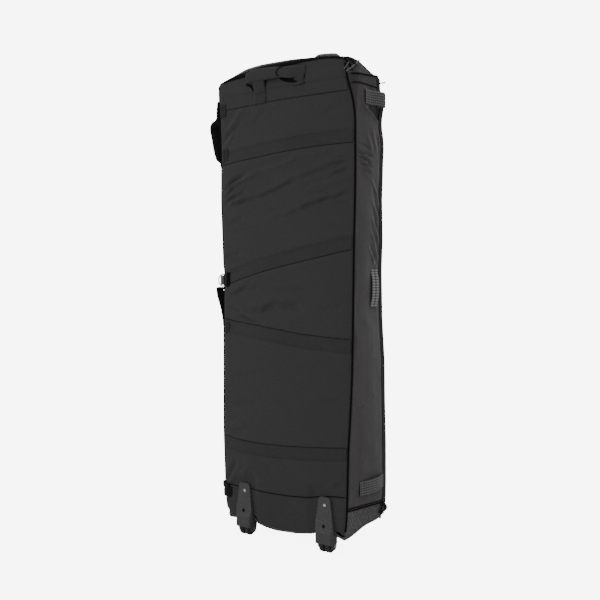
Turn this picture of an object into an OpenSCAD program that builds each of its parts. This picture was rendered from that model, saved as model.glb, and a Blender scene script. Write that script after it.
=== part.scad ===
// Wheeled snowboard bag, standing upright on the wheels and feet of its lower end.
// +Z runs up the bag's length, -Y is the back with the wheels, +Y is the front that opens,
// and the origin is on the floor under the middle of the whole object. Sizes are in millimetres.

/* [Bag] */
// Length of the bag from its wheel end to the crown of its top end
bag_len = 1495; // [1250:5:1800]
// Width at the top end
w_top = 524; // [430:2:630]
// Width at the wheel end
w_bottom = 472; // [410:2:560]
// Depth at the top end
d_top = 160; // [130:2:200]
// Depth at the wheel end
d_bottom = 243; // [205:2:300]
// Rise of the top end's back edge in its middle
crown = 32; // [20:1:45]
// Drop of the top end from its back corners to its front edge
front_drop = 24; // [15:1:40]
// Height of the seam round the lower end above the wheel end, at the back
end_seam_h = 98; // [90:1:125]
// Height of the same seam on the side walls, at the back
side_seam_h = 75; // [55:1:90]

/* [Walls] */
// Thickness of the outer fabric
fabric_t = 2; // [1:0.5:3]
// Thickness of the foam behind the fabric
foam_t = 8; // [7:0.5:12]
// Thickness of the lining
lining_t = 1; // [0.5:0.25:1.5]
// Thickness of the stiffening boards
board_t = 2.5; // [1.5:0.5:4]
// Thickness of the padded front lid
lid_t = 14; // [12:1:20]
// Gap between the lid and the walls that it closes on
lid_gap = 0.5; // [0.3:0.1:1]

/* [Wheels] */
// Radius of a wheel
wheel_r = 23; // [19:0.5:25]
// Width of one wheel
wheel_w = 18; // [15:1:22]
// Width of a spacer between wheel and cheek, and between the two wheels
spacer_w = 3; // [2.5:0.5:5]
// Radius of an axle bolt
axle_r = 3; // [2.5:0.5:4]
// Radius of a wheel bearing
bearing_r = 9; // [8:0.5:11]
// Width of a wheel bearing
bearing_w = 5; // [4:0.5:7]
// Distance of the axles in from the bag's back, under its wheel end
axle_in = 12; // [6:1:16]
// Distance of each wheel bracket from the bag's middle
bracket_x = 157; // [120:1:180]

/* [Brackets] */
// Thickness of a bracket's back plate
bracket_t = 7; // [6:0.5:10]
// Width of a bracket at its rounded top
bracket_top_w = 44; // [36:1:50]
// Height of a bracket's plate above the wheel end
bracket_h = 114; // [105:1:135]
// Thickness of a bracket's cheeks
cheek_t = 4; // [3:0.5:6]
// Greatest width of a bracket, where it hoods the wheels
bracket_wide = 66; // [60:1:76]
// Thickness of a bracket's body between the wheels and the bag
roof_t = 14.5; // [8:0.5:17]
// Height of the lower rivets above the wheel end
rivet_low_h = 23; // [21:1:36]
// Height of the upper rivets above the wheel end
rivet_high_h = 88; // [76:1:96]
// Radius of a rivet's shank
rivet_r = 2.5; // [2:0.25:3]

/* [Feet] */
// Distance of each foot from the bag's middle
foot_x = 110; // [80:1:130]
// Distance of the feet from the bag's back
foot_in = 182; // [150:1:190]
// Radius of a foot where it stands
foot_r = 14; // [12:1:18]

/* [Webbing] */
// Width of the webbing sewn across the back
band_w = 41; // [35:1:50]
// Thickness of the webbing
web_t = 1.6; // [1.2:0.2:2.4]
// Thickness of the handle straps
strap_t = 3; // [2:0.5:4]
// Width of the haul handles on the left wall
haul_w = 38; // [30:1:44]
// How far the upper haul handle stands off the left wall
haul_rise = 43; // [35:1:55]
// Width of the grab handles on the right wall
grab_w = 46; // [38:1:50]
// How far the lower two grab handles stand off the right wall
grab_rise = 10; // [9:1:16]
// How far the upper grab handle stands off the right wall, near the front
grab_pull = 26; // [18:1:30]

/* [Ring and zip] */
// Radius of the ring's wire
ring_wire_r = 2; // [1.5:0.25:3]
// Radius of the ring's bow, to the middle of its wire
ring_r = 20; // [16:1:24]
// Thickness of the zip tapes
tape_t = 1.2; // [0.8:0.2:1.6]
// Width of each zip tape
tape_w = 12; // [10:1:12]
// Length of the zip pulls
pull_len = 18; // [14:1:30]

/* [Hidden] */

$fn = 48;
cut = 1;                 // how far a cutting solid runs past what it cuts
ply = 0.2;               // gap between layers that lie on each other
run_gap = 0.08;          // radial clearance of what turns on an axle or bar
arc_steps = 24;          // straight steps in the crown's curve

// Wheel and floor: the bag's end rests on the hoods, which clear the wheels
wheel_gap = 1.8;
hood_wall = 3.5;
z0 = 2 * wheel_r + wheel_gap + roof_t + ply;
z_crown = z0 + bag_len;
z_corner = z_crown - crown;
z_front = z_corner - front_drop;

// Front to back, with the origin midway between the hoods and the lid's foot
hood_reach = wheel_r + wheel_gap + hood_wall - axle_in;
back_y = (hood_reach - d_bottom) / 2;
axle_y = back_y + axle_in;

// The tapered outside of the bag
function hw(z) = (w_bottom + (w_top - w_bottom) * (z - z0) / bag_len) / 2;
function fy(z) = back_y + d_bottom + (d_top - d_bottom) * (z - z0) / (z_front - z0);
function fyi(z) = fy(z) - lid_t - lid_gap;
taper = atan((w_top - w_bottom) / 2 / bag_len);
lean = atan((d_bottom - d_top) / (z_front - z0));
flat_w = tape_w + 8;     // level strip along the top end's front edge, where the zip runs
y_flat = fyi(z_front) - flat_w;
function ztop(x, y) =
    let (share = min(1, (y - back_y) / (y_flat - back_y)),
        z_back = z_corner + crown * (1 - pow(x / hw(z_corner), 2)))
    z_back + (z_front - z_back) * share;

// Seams of the end pieces
z_seam = z0 + end_seam_h;
z_side_seam = z0 + side_seam_h;
side_seam_fall = 19;
z_top_seam = z_corner - 47;
top_seam_front = z_front - 2;

// Layers, measured in from the outer faces
foam_a = fabric_t + ply;
foam_b = foam_a + foam_t;
line_a = foam_b + ply;
line_b = line_a + lining_t;
board_a = fabric_t + ply;
board_b = board_a + board_t;
pad_a = board_b + ply;
pad_b = pad_a + foam_t;
inner_a = pad_b + ply;
inner_b = inner_a + lining_t;
plate_t = 2;
tail_t = 1.5;

// Middle of the bag in X: the object reaches further left, with its haul handle, than right
z_slider = z_front - 24;
slider_h = 18;
slider_reach = tape_t + 7.4;
pull_t = 3;
pull_eye_w = 3;
pull_pin_r = 0.8;
haul_peak_z = z_corner - 156;
left_reach = hw(haul_peak_z) + ply + haul_rise + strap_t;
right_reach = hw(z_slider) + slider_reach + pull_len;
x_mid = (left_reach - right_reach) / 2;

module mid()
{
    translate([x_mid, 0, 0])
        children();
}

// Outline in X and Z, given as points seen from the back, made into a plate between two depths
module xz_plate(y_a, y_b, outline)
{
    translate([0, y_b, 0])
        rotate([90, 0, 0])
            linear_extrude(y_b - y_a)
                polygon(outline);
}

// Outline of the back, drawn in from the sides, with the crowned top lowered by drop
function back_outline(inset, z_lo, drop) = concat(
    [[-hw(z_lo) + inset, z_lo], [hw(z_lo) - inset, z_lo]],
    [for (i = [0:arc_steps])
        let (x = (hw(z_corner - drop) - inset) * (1 - 2 * i / arc_steps))
        [x, ztop(x, back_y) - drop]]);

// Plate in a side wall: outline is in Y and Z, seen from outside the right wall, counter-clockwise
module side_plate(a, b, outline)
{
    n = len(outline);
    polyhedron(
        points = concat(
            [for (p = outline) [hw(p[1]) - a, p[0], p[1]]],
            [for (p = outline) [hw(p[1]) - b, p[0], p[1]]]),
        faces = concat(
            [for (i = [1:n - 2]) [0, i + 1, i]],
            [for (i = [1:n - 2]) [n, n + i, n + i + 1]],
            [for (i = [0:n - 1]) [i, (i + 1) % n, n + (i + 1) % n, n + i]]));
}

module left_side()
{
    mirror([1, 0, 0])
        children();
}

// Plate in the sloping front, between two depths below the front's outer face
module front_plate(a, b, inset)
{
    z_lo = z0 + inset;
    z_hi = z_front - inset;
    ring = [[-hw(z_lo) + inset, z_lo], [hw(z_lo) - inset, z_lo],
        [hw(z_hi) - inset, z_hi], [-hw(z_hi) + inset, z_hi]];
    polyhedron(
        points = concat(
            [for (p = ring) [p[0], fy(p[1]) - b, p[1]]],
            [for (p = ring) [p[0], fy(p[1]) - a, p[1]]]),
        faces = [[3, 2, 1, 0], [4, 5, 6, 7], [0, 1, 5, 4], [1, 2, 6, 5], [2, 3, 7, 6], [3, 0, 4, 7]]);
}

// Plate that follows the crowned top between depths t_a and t_b, from y_a to y_b
module top_plate(t_a, t_b, inset, y_a, y_b)
{
    rows = 6;
    ys = concat([for (j = [0:rows]) y_a + (y_flat - y_a) * j / rows], [y_b]);
    nx = arc_steps + 1;
    ny = len(ys);
    layer = nx * ny;
    function half(y) = hw(ztop(hw(z_corner), y)) - inset;
    function spot(i, j, t) =
        let (x = half(ys[j]) * (2 * i / arc_steps - 1))
        [x, ys[j], ztop(x, ys[j]) - t];
    upper = [for (j = [0:ny - 1]) for (i = [0:nx - 1]) spot(i, j, t_a)];
    lower = [for (j = [0:ny - 1]) for (i = [0:nx - 1]) spot(i, j, t_b)];
    quads = [for (j = [0:ny - 2]) for (i = [0:nx - 2]) j * nx + i];
    polyhedron(
        points = concat(upper, lower),
        faces = concat(
            [for (q = quads) [q, q + nx, q + 1]],
            [for (q = quads) [q + 1, q + nx, q + nx + 1]],
            [for (q = quads) [layer + q, layer + q + 1, layer + q + nx]],
            [for (q = quads) [layer + q + 1, layer + q + nx + 1, layer + q + nx]],
            [for (i = [0:nx - 2]) [i, i + 1, layer + i + 1, layer + i]],
            [for (i = [0:nx - 2]) let (q = (ny - 1) * nx + i) [q, layer + q, layer + q + 1, q + 1]],
            [for (j = [0:ny - 2]) let (q = j * nx) [q, layer + q, layer + q + nx, q + nx]],
            [for (j = [0:ny - 2]) let (q = j * nx + nx - 1) [q, q + nx, layer + q + nx, layer + q]]));
}

// Level plate at the wheel end between heights a and b above it
module end_plate(a, b, inset, y_a, front_inset)
{
    half = hw(z0) - inset;
    y_b = fyi(z0) - front_inset;
    translate([0, 0, z0 + a])
        linear_extrude(b - a)
            polygon([[-half, y_a], [half, y_a], [half, y_b], [-half, y_b]]);
}

// Places local x along the right wall's outward normal at height z and depth y
module on_right(z, y)
{
    translate([hw(z), y, z])
        rotate([0, taper, 0])
            children();
}

// Outward normal of a path of [along, out] points at point i, longer at bends so that straps keep
// their thickness
function unit(v) = v / norm(v);
function path_normal(path, i) =
    let (n = len(path),
        a = unit(path[max(i, 1)] - path[max(i, 1) - 1]),
        b = unit(path[min(i + 1, n - 1)] - path[min(i + 1, n - 1) - 1]),
        m = unit(a + b))
    [-m[1], m[0]] / max(0.6, m * b);

// Strap that follows a path, thick along its normals, wide along the extrusion
module strap_path(path, t, w)
{
    n = len(path);
    linear_extrude(w, center = true)
        polygon(concat(path, [for (i = [0:n - 1]) path[n - 1 - i] + t * path_normal(path, n - 1 - i)]));
}

// Strap standing off a wall: path runs up the wall, local x is outwards
module strap_up(path, t, w)
{
    rotate([90, 0, 0])
        mirror([1, 0, 0])
            rotate([0, 0, 90])
                strap_path(path, t, w);
}

// Strap standing off a wall: path runs along the wall's depth, local x is outwards
module strap_across(path, t, w)
{
    mirror([1, 0, 0])
        rotate([0, 0, 90])
            strap_path(path, t, w);
}

// ---- Shell ----
module back_panel()
{
    color("#333433")
        mid()
            xz_plate(back_y, back_y + fabric_t, back_outline(0, z_seam, fabric_t + cut));
}

module wall_fabric()
{
    y_a = back_y + fabric_t;
    z_low_front = z_side_seam - side_seam_fall;
    side_plate(0, fabric_t, [[y_a, z_side_seam], [fyi(z_low_front), z_low_front],
        [fyi(top_seam_front), top_seam_front], [y_a, z_top_seam]]);
}

module right_wall()
{
    color("#393637")
        mid()
            wall_fabric();
}

module left_wall()
{
    color("#393637")
        mid()
            left_side()
                wall_fabric();
}

module top_cap()
{
    flange = [[back_y + fabric_t, z_top_seam], [fyi(top_seam_front), top_seam_front],
        [fyi(z_front), z_front - ply], [y_flat, z_front - ply], [back_y + fabric_t, z_corner - fabric_t]];
    color("#4b4b4b")
        mid()
        {
            top_plate(0, fabric_t, 0, back_y, fyi(z_front));
            side_plate(0, fabric_t, flange);
            left_side()
                side_plate(0, fabric_t, flange);
        }
}

module end_flange()
{
    z_low_front = z_side_seam - side_seam_fall;
    side_plate(0, fabric_t, [[back_y + fabric_t, z0], [fyi(z0), z0],
        [fyi(z_low_front), z_low_front], [back_y + fabric_t, z_side_seam]]);
}

module wheel_cap()
{
    half = hw(z0);
    color("#4b4b4b")
        mid()
            difference()
            {
                union()
                {
                    end_plate(0, fabric_t, 0, back_y, 0);
                    end_flange();
                    left_side()
                        end_flange();
                    xz_plate(back_y, back_y + fabric_t,
                        [[-half, z0], [half, z0], [hw(z_seam), z_seam], [-hw(z_seam), z_seam]]);
                }
                bracket_holes();
                foot_holes();
            }
}

// ---- Stiffening, padding and lining ----
side_inset = line_a;

module base_board()
{
    color("#1c1c1e")
        mid()
            difference()
            {
                xz_plate(back_y + board_a, back_y + board_b,
                    back_outline(side_inset, z0 + board_a, foam_b + flat_w));
                bracket_holes();
            }
}

module end_board()
{
    color("#1c1c1e")
        mid()
            difference()
            {
                end_plate(board_a, board_b, side_inset, back_y + pad_a, 1);
                foot_holes();
            }
}

module back_pad()
{
    color("#6c6f72")
        mid()
            difference()
            {
                xz_plate(back_y + pad_a, back_y + pad_b,
                    back_outline(side_inset, z0 + inner_a, foam_b + flat_w));
                for (side = [-1, 1])
                    translate([side * bracket_x - plate_w / 2 - pocket_gap, back_y + pad_a - cut,
                        z0 + plate_z - pocket_gap])
                        cube([plate_w + 2 * pocket_gap, pocket_t + cut, plate_h + 2 * pocket_gap]);
            }
}

module side_foam()
{
    y_a = back_y + foam_a;
    z_lo = z0 + foam_a;
    z_back = ztop(hw(z_corner), y_a) - foam_b - ply;
    side_plate(foam_a, foam_b, [[y_a, z_lo], [fyi(z_lo) - 1, z_lo],
        [fyi(z_front - foam_b) - 1, z_front - foam_b - ply], [y_flat, z_front - foam_b - ply],
        [y_a, z_back]]);
}

module right_pad()
{
    color("#6c6f72")
        mid()
            side_foam();
}

module left_pad()
{
    color("#6c6f72")
        mid()
            left_side()
                side_foam();
}

module top_pad()
{
    color("#6c6f72")
        mid()
            top_plate(foam_a, foam_b, foam_a + ply + 0.6, back_y + foam_a, fyi(z_front) - 1);
}

module end_pad()
{
    color("#6c6f72")
        mid()
            difference()
            {
                end_plate(pad_a, pad_b, side_inset, back_y + pad_a, 1);
                for (side = [-1, 1])
                    for (way = [-1, 1])
                        translate([side * foot_x + way * foot_rivet_out, back_y + foot_in, z0])
                            cylinder(h = pad_a + tail_t + 1, r = tail_r + 1);
            }
}

module side_lining()
{
    y_a = back_y + inner_a;
    z_lo = z0 + inner_a;
    z_hi = z_front - line_b - ply;
    side_plate(line_a, line_b, [[y_a, z_lo], [fyi(z_lo) - 1, z_lo], [fyi(z_hi) - 1, z_hi], [y_a, z_hi]]);
}

module lining()
{
    color("#8a2f2a")
        mid()
        {
            xz_plate(back_y + inner_a, back_y + inner_b,
                back_outline(line_a, z0 + inner_a, foam_b + flat_w + inner_b));
            end_plate(inner_a, inner_b, line_a, back_y + inner_a, 1);
            side_lining();
            left_side()
                side_lining();
            top_plate(line_a + ply, line_b + ply, line_a + 0.6, back_y + inner_a, fyi(z_front) - 1);
        }
}

// Piping cord along the two long edges of the back, each a straight rod
module piping()
{
    r = 1.5;
    off = 1.3;
    run = z_corner - z_seam - 20;
    color("#101010")
        mid()
            for (side = [0, 1])
                mirror([side, 0, 0])
                    translate([hw(z_seam) + off, back_y - off, z_seam])
                        rotate([0, taper, 0])
                            cylinder(h = run, r = r);
}

// ---- Wheel brackets ----
plate_w = 40;
plate_z = rivet_low_h - 10;
plate_h = rivet_high_h - rivet_low_h + 20;
pocket_gap = 1;
pocket_t = plate_t + tail_t + 1;
tail_r = 4.5;
head_r = 5;
head_t = 1.8;
recess_r = 6;
recess_t = 3.4;
pack_w = 2 * wheel_w + 3 * spacer_w;
bracket_w = pack_w + 2 * cheek_t;
plate_face = back_y - ply - bracket_t;

module bracket_holes()
{
    for (side = [-1, 1])
        for (h = [rivet_low_h, rivet_high_h])
            translate([side * bracket_x, back_y - cut, z0 + h])
                rotate([-90, 0, 0])
                    cylinder(h = board_b + plate_t + 2 * cut, r = rivet_r + 0.1);
}

module backing_plates()
{
    color("#8d9194")
        mid()
            difference()
            {
                for (side = [-1, 1])
                    translate([side * bracket_x - plate_w / 2, back_y + board_b, z0 + plate_z])
                        cube([plate_w, plate_t, plate_h]);
                bracket_holes();
            }
}

// Side view of a bracket: a plate on the back that swells out over the wheels and turns under the bag
hood_y = axle_y - wheel_r - wheel_gap - hood_wall;
hood_tip = wheel_r + 8;
swell_h = 66;
under_y = axle_y + wheel_r - 6;
function bracket_profile() =
    let (hood_in = hood_y + hood_wall,
        z_in = 2 * wheel_r + wheel_gap)
    [[back_y - ply, z0 + bracket_h], [plate_face, z0 + bracket_h], [plate_face, z0 + swell_h],
        [hood_y + 5, z0 + 20], [hood_y, z0 + 2], [hood_y, hood_tip], [hood_in, hood_tip],
        [hood_in, z_in], [under_y, z_in], [under_y, z0 - ply], [back_y - ply, z0 - ply]];

// Front view of a bracket: it widens downwards from a rounded top and draws in again at its lip
module bracket_front()
{
    top_r = 12;
    half = bracket_top_w / 2;
    wide = bracket_wide / 2;
    lip = wide - 4;
    z_hi = z0 + bracket_h;
    z_wide = z0 + 18;
    polygon([[-lip, 0], [lip, 0], [lip, hood_tip], [wide, z0 - 4], [wide, z_wide],
        [half + 3.6, z0 + swell_h + 4], [half, z_hi - top_r], [half - top_r, z_hi],
        [top_r - half, z_hi], [-half, z_hi - top_r], [-half - 3.6, z0 + swell_h + 4],
        [-wide, z_wide], [-wide, z0 - 4], [-lip, hood_tip]]);
    for (side = [-1, 1])
        translate([side * (half - top_r), z_hi - top_r])
            circle(r = top_r);
}

// Plan of a bracket: its front corners are rounded off
module bracket_plan()
{
    wide = bracket_wide / 2 + cut;
    polygon([[-wide, under_y + cut], [-wide, hood_y + 13], [-wide + 3, hood_y + 6], [-wide + 8, hood_y],
        [wide - 8, hood_y], [wide - 3, hood_y + 6], [wide, hood_y + 13], [wide, under_y + cut]]);
}

// Side of the bracket that holds an axle end: straight at its rear, round under the axle
module cheek()
{
    ear_r = 14;
    z_hi = z0 - ply;
    rotate([90, 0, 90])
        linear_extrude(cheek_t)
        {
            polygon([[hood_y + hood_wall, z_hi], [hood_y + hood_wall, hood_tip + 2],
                [axle_y - ear_r, wheel_r], [axle_y + ear_r - 2, wheel_r - 7], [under_y, hood_tip],
                [under_y, z_hi]]);
            translate([axle_y, wheel_r])
                circle(r = ear_r);
        }
}

module bracket()
{
    difference()
    {
        union()
        {
            intersection()
            {
                translate([-bracket_wide / 2, 0, 0])
                    rotate([90, 0, 90])
                        linear_extrude(bracket_wide)
                            polygon(bracket_profile());
                translate([0, under_y + cut, 0])
                    rotate([90, 0, 0])
                        linear_extrude(4 * wheel_r)
                            bracket_front();
                linear_extrude(z0 + bracket_h + cut)
                    bracket_plan();
            }
            for (x = [-bracket_w / 2, bracket_w / 2 - cheek_t])
                translate([x, 0, 0])
                    cheek();
        }
        for (h = [rivet_low_h, rivet_high_h])
            translate([0, hood_y - cut, z0 + h])
                rotate([-90, 0, 0])
                {
                    cylinder(h = back_y - hood_y + 2 * cut, r = rivet_r + 0.1);
                    cylinder(h = plate_face + recess_t - hood_y + cut, r = recess_r);
                }
        translate([-bracket_w / 2 - cut, axle_y, wheel_r])
            rotate([0, 90, 0])
                cylinder(h = bracket_w + 2 * cut, r = axle_r + run_gap);
    }
}

module bracket_left()
{
    color("#4a4a4b")
        mid()
            translate([-bracket_x, 0, 0])
                bracket();
}

module bracket_right()
{
    color("#4a4a4b")
        mid()
            translate([bracket_x, 0, 0])
                bracket();
}

module bracket_rivets()
{
    head_y = plate_face + recess_t - head_t;
    tail_y = back_y + board_b + plate_t;
    color("#c9ccce")
        mid()
            for (side = [-1, 1])
                for (h = [rivet_low_h, rivet_high_h])
                    translate([side * bracket_x, head_y, z0 + h])
                        rotate([-90, 0, 0])
                        {
                            cylinder(h = head_t, r = head_r);
                            cylinder(h = tail_y - head_y + tail_t, r = rivet_r);
                            translate([0, 0, tail_y - head_y])
                                cylinder(h = tail_t, r = tail_r);
                        }
}

// ---- Axles and wheels ----
module at_axles()
{
    for (side = [-1, 1])
        translate([side * bracket_x, axle_y, wheel_r])
            rotate([0, 90, 0])
                children();
}

nut_t = 5;
module wheel_axles()
{
    bolt_head_r = 5;
    bolt_head_t = 2.6;
    color("#c9ccce")
        mid()
            at_axles()
            {
                translate([0, 0, -bracket_w / 2 - nut_t - 1])
                    cylinder(h = bracket_w + nut_t + 2, r = axle_r);
                translate([0, 0, bracket_w / 2])
                    cylinder(h = bolt_head_t, r = bolt_head_r);
            }
}

module axle_nuts()
{
    color("#9a9da0")
        mid()
            at_axles()
                translate([0, 0, -bracket_w / 2 - nut_t])
                    difference()
                    {
                        cylinder(h = nut_t, r = 2 * axle_r, $fn = 6);
                        translate([0, 0, -cut])
                            cylinder(h = nut_t + 2 * cut, r = axle_r + run_gap / 2);
                    }
}

module axle_spacers()
{
    side_gap = 0.1;
    color("#b9bcbe")
        mid()
            at_axles()
                for (i = [-1:1])
                    translate([0, 0, i * (wheel_w + spacer_w) - spacer_w / 2 + side_gap])
                        difference()
                        {
                            cylinder(h = spacer_w - 2 * side_gap, r = axle_r + 2.5);
                            translate([0, 0, -cut])
                                cylinder(h = spacer_w + 2 * cut, r = axle_r + run_gap);
                        }
}

// Wheels 1 to 4 run from the left bracket's outer wheel to the right bracket's outer wheel
function wheel_x(i) =
    (i < 3 ? -1 : 1) * bracket_x + (i % 2 == 1 ? -1 : 1) * (wheel_w + spacer_w) / 2;
core_r = bearing_r + 4;

module at_wheel(i)
{
    mid()
        translate([wheel_x(i), axle_y, wheel_r])
            rotate([0, 90, 0])
                children();
}

module tyre(i)
{
    edge = 4;
    half = wheel_w / 2;
    color("#2a2a2c")
        at_wheel(i)
            rotate_extrude($fn = 64)
                polygon([[core_r, -half], [wheel_r - edge, -half], [wheel_r - 1, 2 - half],
                    [wheel_r, edge - half], [wheel_r, half - edge], [wheel_r - 1, half - 2],
                    [wheel_r - edge, half], [core_r, half]]);
}

module hub(i)
{
    half = wheel_w / 2;
    seat = half - bearing_w;
    color("#77797b")
        at_wheel(i)
            rotate_extrude($fn = 64)
                polygon([[axle_r + 2, -seat], [bearing_r, -seat], [bearing_r, -half], [core_r, -half],
                    [core_r, half], [bearing_r, half], [bearing_r, seat], [axle_r + 2, seat]]);
}

module bearings(i)
{
    color("#b0b3b5")
        at_wheel(i)
            for (side = [-1, 1])
                translate([0, 0, side * (wheel_w - bearing_w) / 2 - bearing_w / 2])
                    difference()
                    {
                        cylinder(h = bearing_w, r = bearing_r);
                        translate([0, 0, -cut])
                            cylinder(h = bearing_w + 2 * cut, r = axle_r + run_gap);
                    }
}

module tyre_1() { tyre(1); }
module tyre_2() { tyre(2); }
module tyre_3() { tyre(3); }
module tyre_4() { tyre(4); }
module hub_1() { hub(1); }
module hub_2() { hub(2); }
module hub_3() { hub(3); }
module hub_4() { hub(4); }
module bearings_1() { bearings(1); }
module bearings_2() { bearings(2); }
module bearings_3() { bearings(3); }
module bearings_4() { bearings(4); }

// ---- Feet under the front of the wheel end ----
foot_top_r = foot_r + 5;
foot_rivet_out = foot_top_r + 5;
flange_t = 4;

module foot_holes()
{
    for (side = [-1, 1])
        for (way = [-1, 1])
            translate([side * foot_x + way * foot_rivet_out, back_y + foot_in, z0 - cut])
                cylinder(h = board_b + 2 * cut, r = rivet_r + 0.1);
}

module feet()
{
    half = foot_rivet_out + 8;
    color("#262627")
        mid()
            difference()
            {
                for (side = [-1, 1])
                    translate([side * foot_x, back_y + foot_in, 0])
                    {
                        cylinder(h = z0 - flange_t, r1 = foot_r, r2 = foot_top_r);
                        translate([-half, -foot_top_r, z0 - flange_t])
                            cube([2 * half, 2 * foot_top_r, flange_t]);
                    }
                for (side = [-1, 1])
                    for (way = [-1, 1])
                        translate([side * foot_x + way * foot_rivet_out, back_y + foot_in,
                            z0 - flange_t - cut])
                            cylinder(h = flange_t + 2 * cut, r = rivet_r + 0.1);
            }
}

module foot_rivets()
{
    color("#c9ccce")
        mid()
            for (side = [-1, 1])
                for (way = [-1, 1])
                    translate([side * foot_x + way * foot_rivet_out, back_y + foot_in,
                        z0 - flange_t - head_t])
                    {
                        cylinder(h = head_t, r = head_r - 1);
                        cylinder(h = head_t + flange_t + board_b + tail_t, r = rivet_r);
                        translate([0, 0, head_t + flange_t + board_b])
                            cylinder(h = tail_t, r = tail_r);
                    }
}

// ---- Webbing sewn across the back ----
z_band_top = z_crown - 107;
z_band_upper = z_crown - 280;
z_band_diagonal = z0 + 0.57 * bag_len;
z_band_middle = z0 + 0.41 * bag_len;
z_band_low = z_seam + 142;

band_in = 1.8;

module band(z_left, z_right, w)
{
    color("#323031")
        mid()
            xz_plate(back_y - ply - web_t, back_y - ply,
                [[band_in - hw(z_left), z_left - w / 2], [hw(z_right) - band_in, z_right - w / 2],
                    [hw(z_right) - band_in, z_right + w / 2], [band_in - hw(z_left), z_left + w / 2]]);
}

module band_top() { band(z_band_top, z_band_top, band_w); }
module band_upper() { band(z_band_upper - 10, z_band_upper + 10, band_w); }
module band_diagonal() { band(z_band_diagonal - 49, z_band_diagonal + 49, band_w); }
module band_middle() { band(z_band_middle + 26, z_band_middle - 26, band_w); }
module band_low() { band(z_band_low - 6, z_band_low + 6, band_w); }

// ---- Haul handles and ring on the left wall ----
haul_y = back_y + fabric_t + 3 + haul_w / 2;
z_haul_a = z_crown - 318;
z_haul_b = z_crown - 104;
z_ring = z_band_diagonal - 60;
z_short_a = z_band_middle + 22;
z_short_b = z_ring - ring_r - 3;

// Hangs as a slack loop: its upper end turns over near the wall, and its belly is above the middle
module haul_handle_upper()
{
    foot = 12;
    span = z_haul_b - z_haul_a;
    mid_z = (z_haul_a + z_haul_b) / 2;
    half = span / 2;
    peak = haul_peak_z - mid_z;
    color("#1e1d1e")
        mid()
            left_side()
                on_right(mid_z, haul_y)
                    strap_up([[-half, ply], [foot - half, ply], [foot + 8 - half, 0.44 * haul_rise],
                        [peak - 60, 0.67 * haul_rise], [peak - 25, 0.86 * haul_rise],
                        [peak - 4, haul_rise], [peak + 6, haul_rise], [peak + 23, 0.8 * haul_rise],
                        [peak + 36, 0.56 * haul_rise], [half - foot - 4, 0.38 * haul_rise],
                        [half - foot, ply], [half, ply]], strap_t, haul_w);
}

module haul_handle_lower()
{
    foot = 26;
    span = z_short_b - z_short_a;
    mid_z = (z_short_a + z_short_b) / 2;
    color("#1e1d1e")
        mid()
            left_side()
                on_right(mid_z, haul_y)
                    strap_up([[-span / 2, ply], [foot - span / 2, ply], [span / 2 - 44, 25],
                        [span / 2 - 26, 30], [span / 2 - 20, 26], [span / 2 - 14, ply],
                        [span / 2, ply]], strap_t, haul_w);
}

ring_out = ring_wire_r + run_gap + 2.4 + ply;
ring_y = back_y + fabric_t + 7;
tab_w = 34;
tab_r = ring_wire_r + run_gap + 2;

module ring_tab()
{
    tail = 38;
    color("#5a5a5a")
        mid()
            left_side()
                on_right(z_ring, ring_y)
                    difference()
                    {
                        union()
                        {
                            translate([ring_out, 0, -tab_w / 2])
                                cylinder(h = tab_w, r = tab_r);
                            translate([ply, 0, -tab_w / 2])
                                cube([2, tail, tab_w]);
                            translate([ply, 0, -tab_w / 2])
                                cube([ring_out, tab_r, tab_w]);
                        }
                        translate([ring_out, 0, -tab_w / 2 - cut])
                            cylinder(h = tab_w + 2 * cut, r = ring_wire_r + run_gap);
                    }
}

module d_ring()
{
    color("#c4c6c8")
        mid()
            left_side()
                on_right(z_ring, ring_y)
                    translate([ring_out, 0, 0])
                    {
                        translate([0, 0, -ring_r])
                            cylinder(h = 2 * ring_r, r = ring_wire_r);
                        for (way = [-1, 1])
                            translate([0, 0, way * ring_r])
                            {
                                sphere(r = ring_wire_r);
                                rotate([0, 90, 0])
                                    cylinder(h = ring_out, r = ring_wire_r);
                            }
                        translate([ring_out, 0, 0])
                            rotate([90, 0, 0])
                                rotate([0, 0, -90])
                                    rotate_extrude(angle = 180)
                                        translate([ring_r, 0])
                                            circle(r = ring_wire_r);
                    }
}

// ---- Grab handles on the right wall ----
z_grab_upper = z_corner - 108;
z_grab_middle = z0 + 0.512 * bag_len;
z_grab_lower = z0 + 136;
grab_foot = 14;
tape_room = tape_w + 2;

module grab_up_handle(z, y, path, w)
{
    color("#56565a")
        mid()
            on_right(z, y)
                strap_up(path, strap_t, w);
}

module grab_across_handle(z, y, path)
{
    color("#56565a")
        mid()
            on_right(z, y)
                strap_across(path, strap_t, grab_w);
}

// Pulled out towards the front, where it leans over the zip tape
module grab_handle_upper()
{
    back_end = -40;
    front_end = 46;
    grab_across_handle(z_grab_upper, fyi(z_grab_upper) - tape_room - front_end,
        [[back_end, ply], [back_end + grab_foot, ply], [front_end - 32, grab_pull - 1],
            [front_end - 8, grab_pull], [front_end + 2, grab_pull - 4], [front_end - 2, grab_pull - 10],
            [front_end - 10, ply + 4], [front_end - 8, ply], [front_end, ply]]);
}

module grab_handle_lower()
{
    half = 72;
    grab_across_handle(z_grab_lower, fyi(z_grab_lower) - tape_room - half,
        [[-half, ply], [grab_foot - half, ply], [grab_foot - half + 20, grab_rise - 1],
            [half - 34, grab_rise], [half - grab_foot, ply], [half, ply]]);
}

module grab_handle_middle()
{
    half = 55;
    grab_up_handle(z_grab_middle, fyi(z_grab_middle) - tape_w - 44,
        [[-half, ply], [grab_foot - half, ply], [grab_foot - half + 10, grab_rise + 1],
            [half - grab_foot - 10, grab_rise + 1], [half - grab_foot, ply], [half, ply]], grab_w + 4);
}

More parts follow.
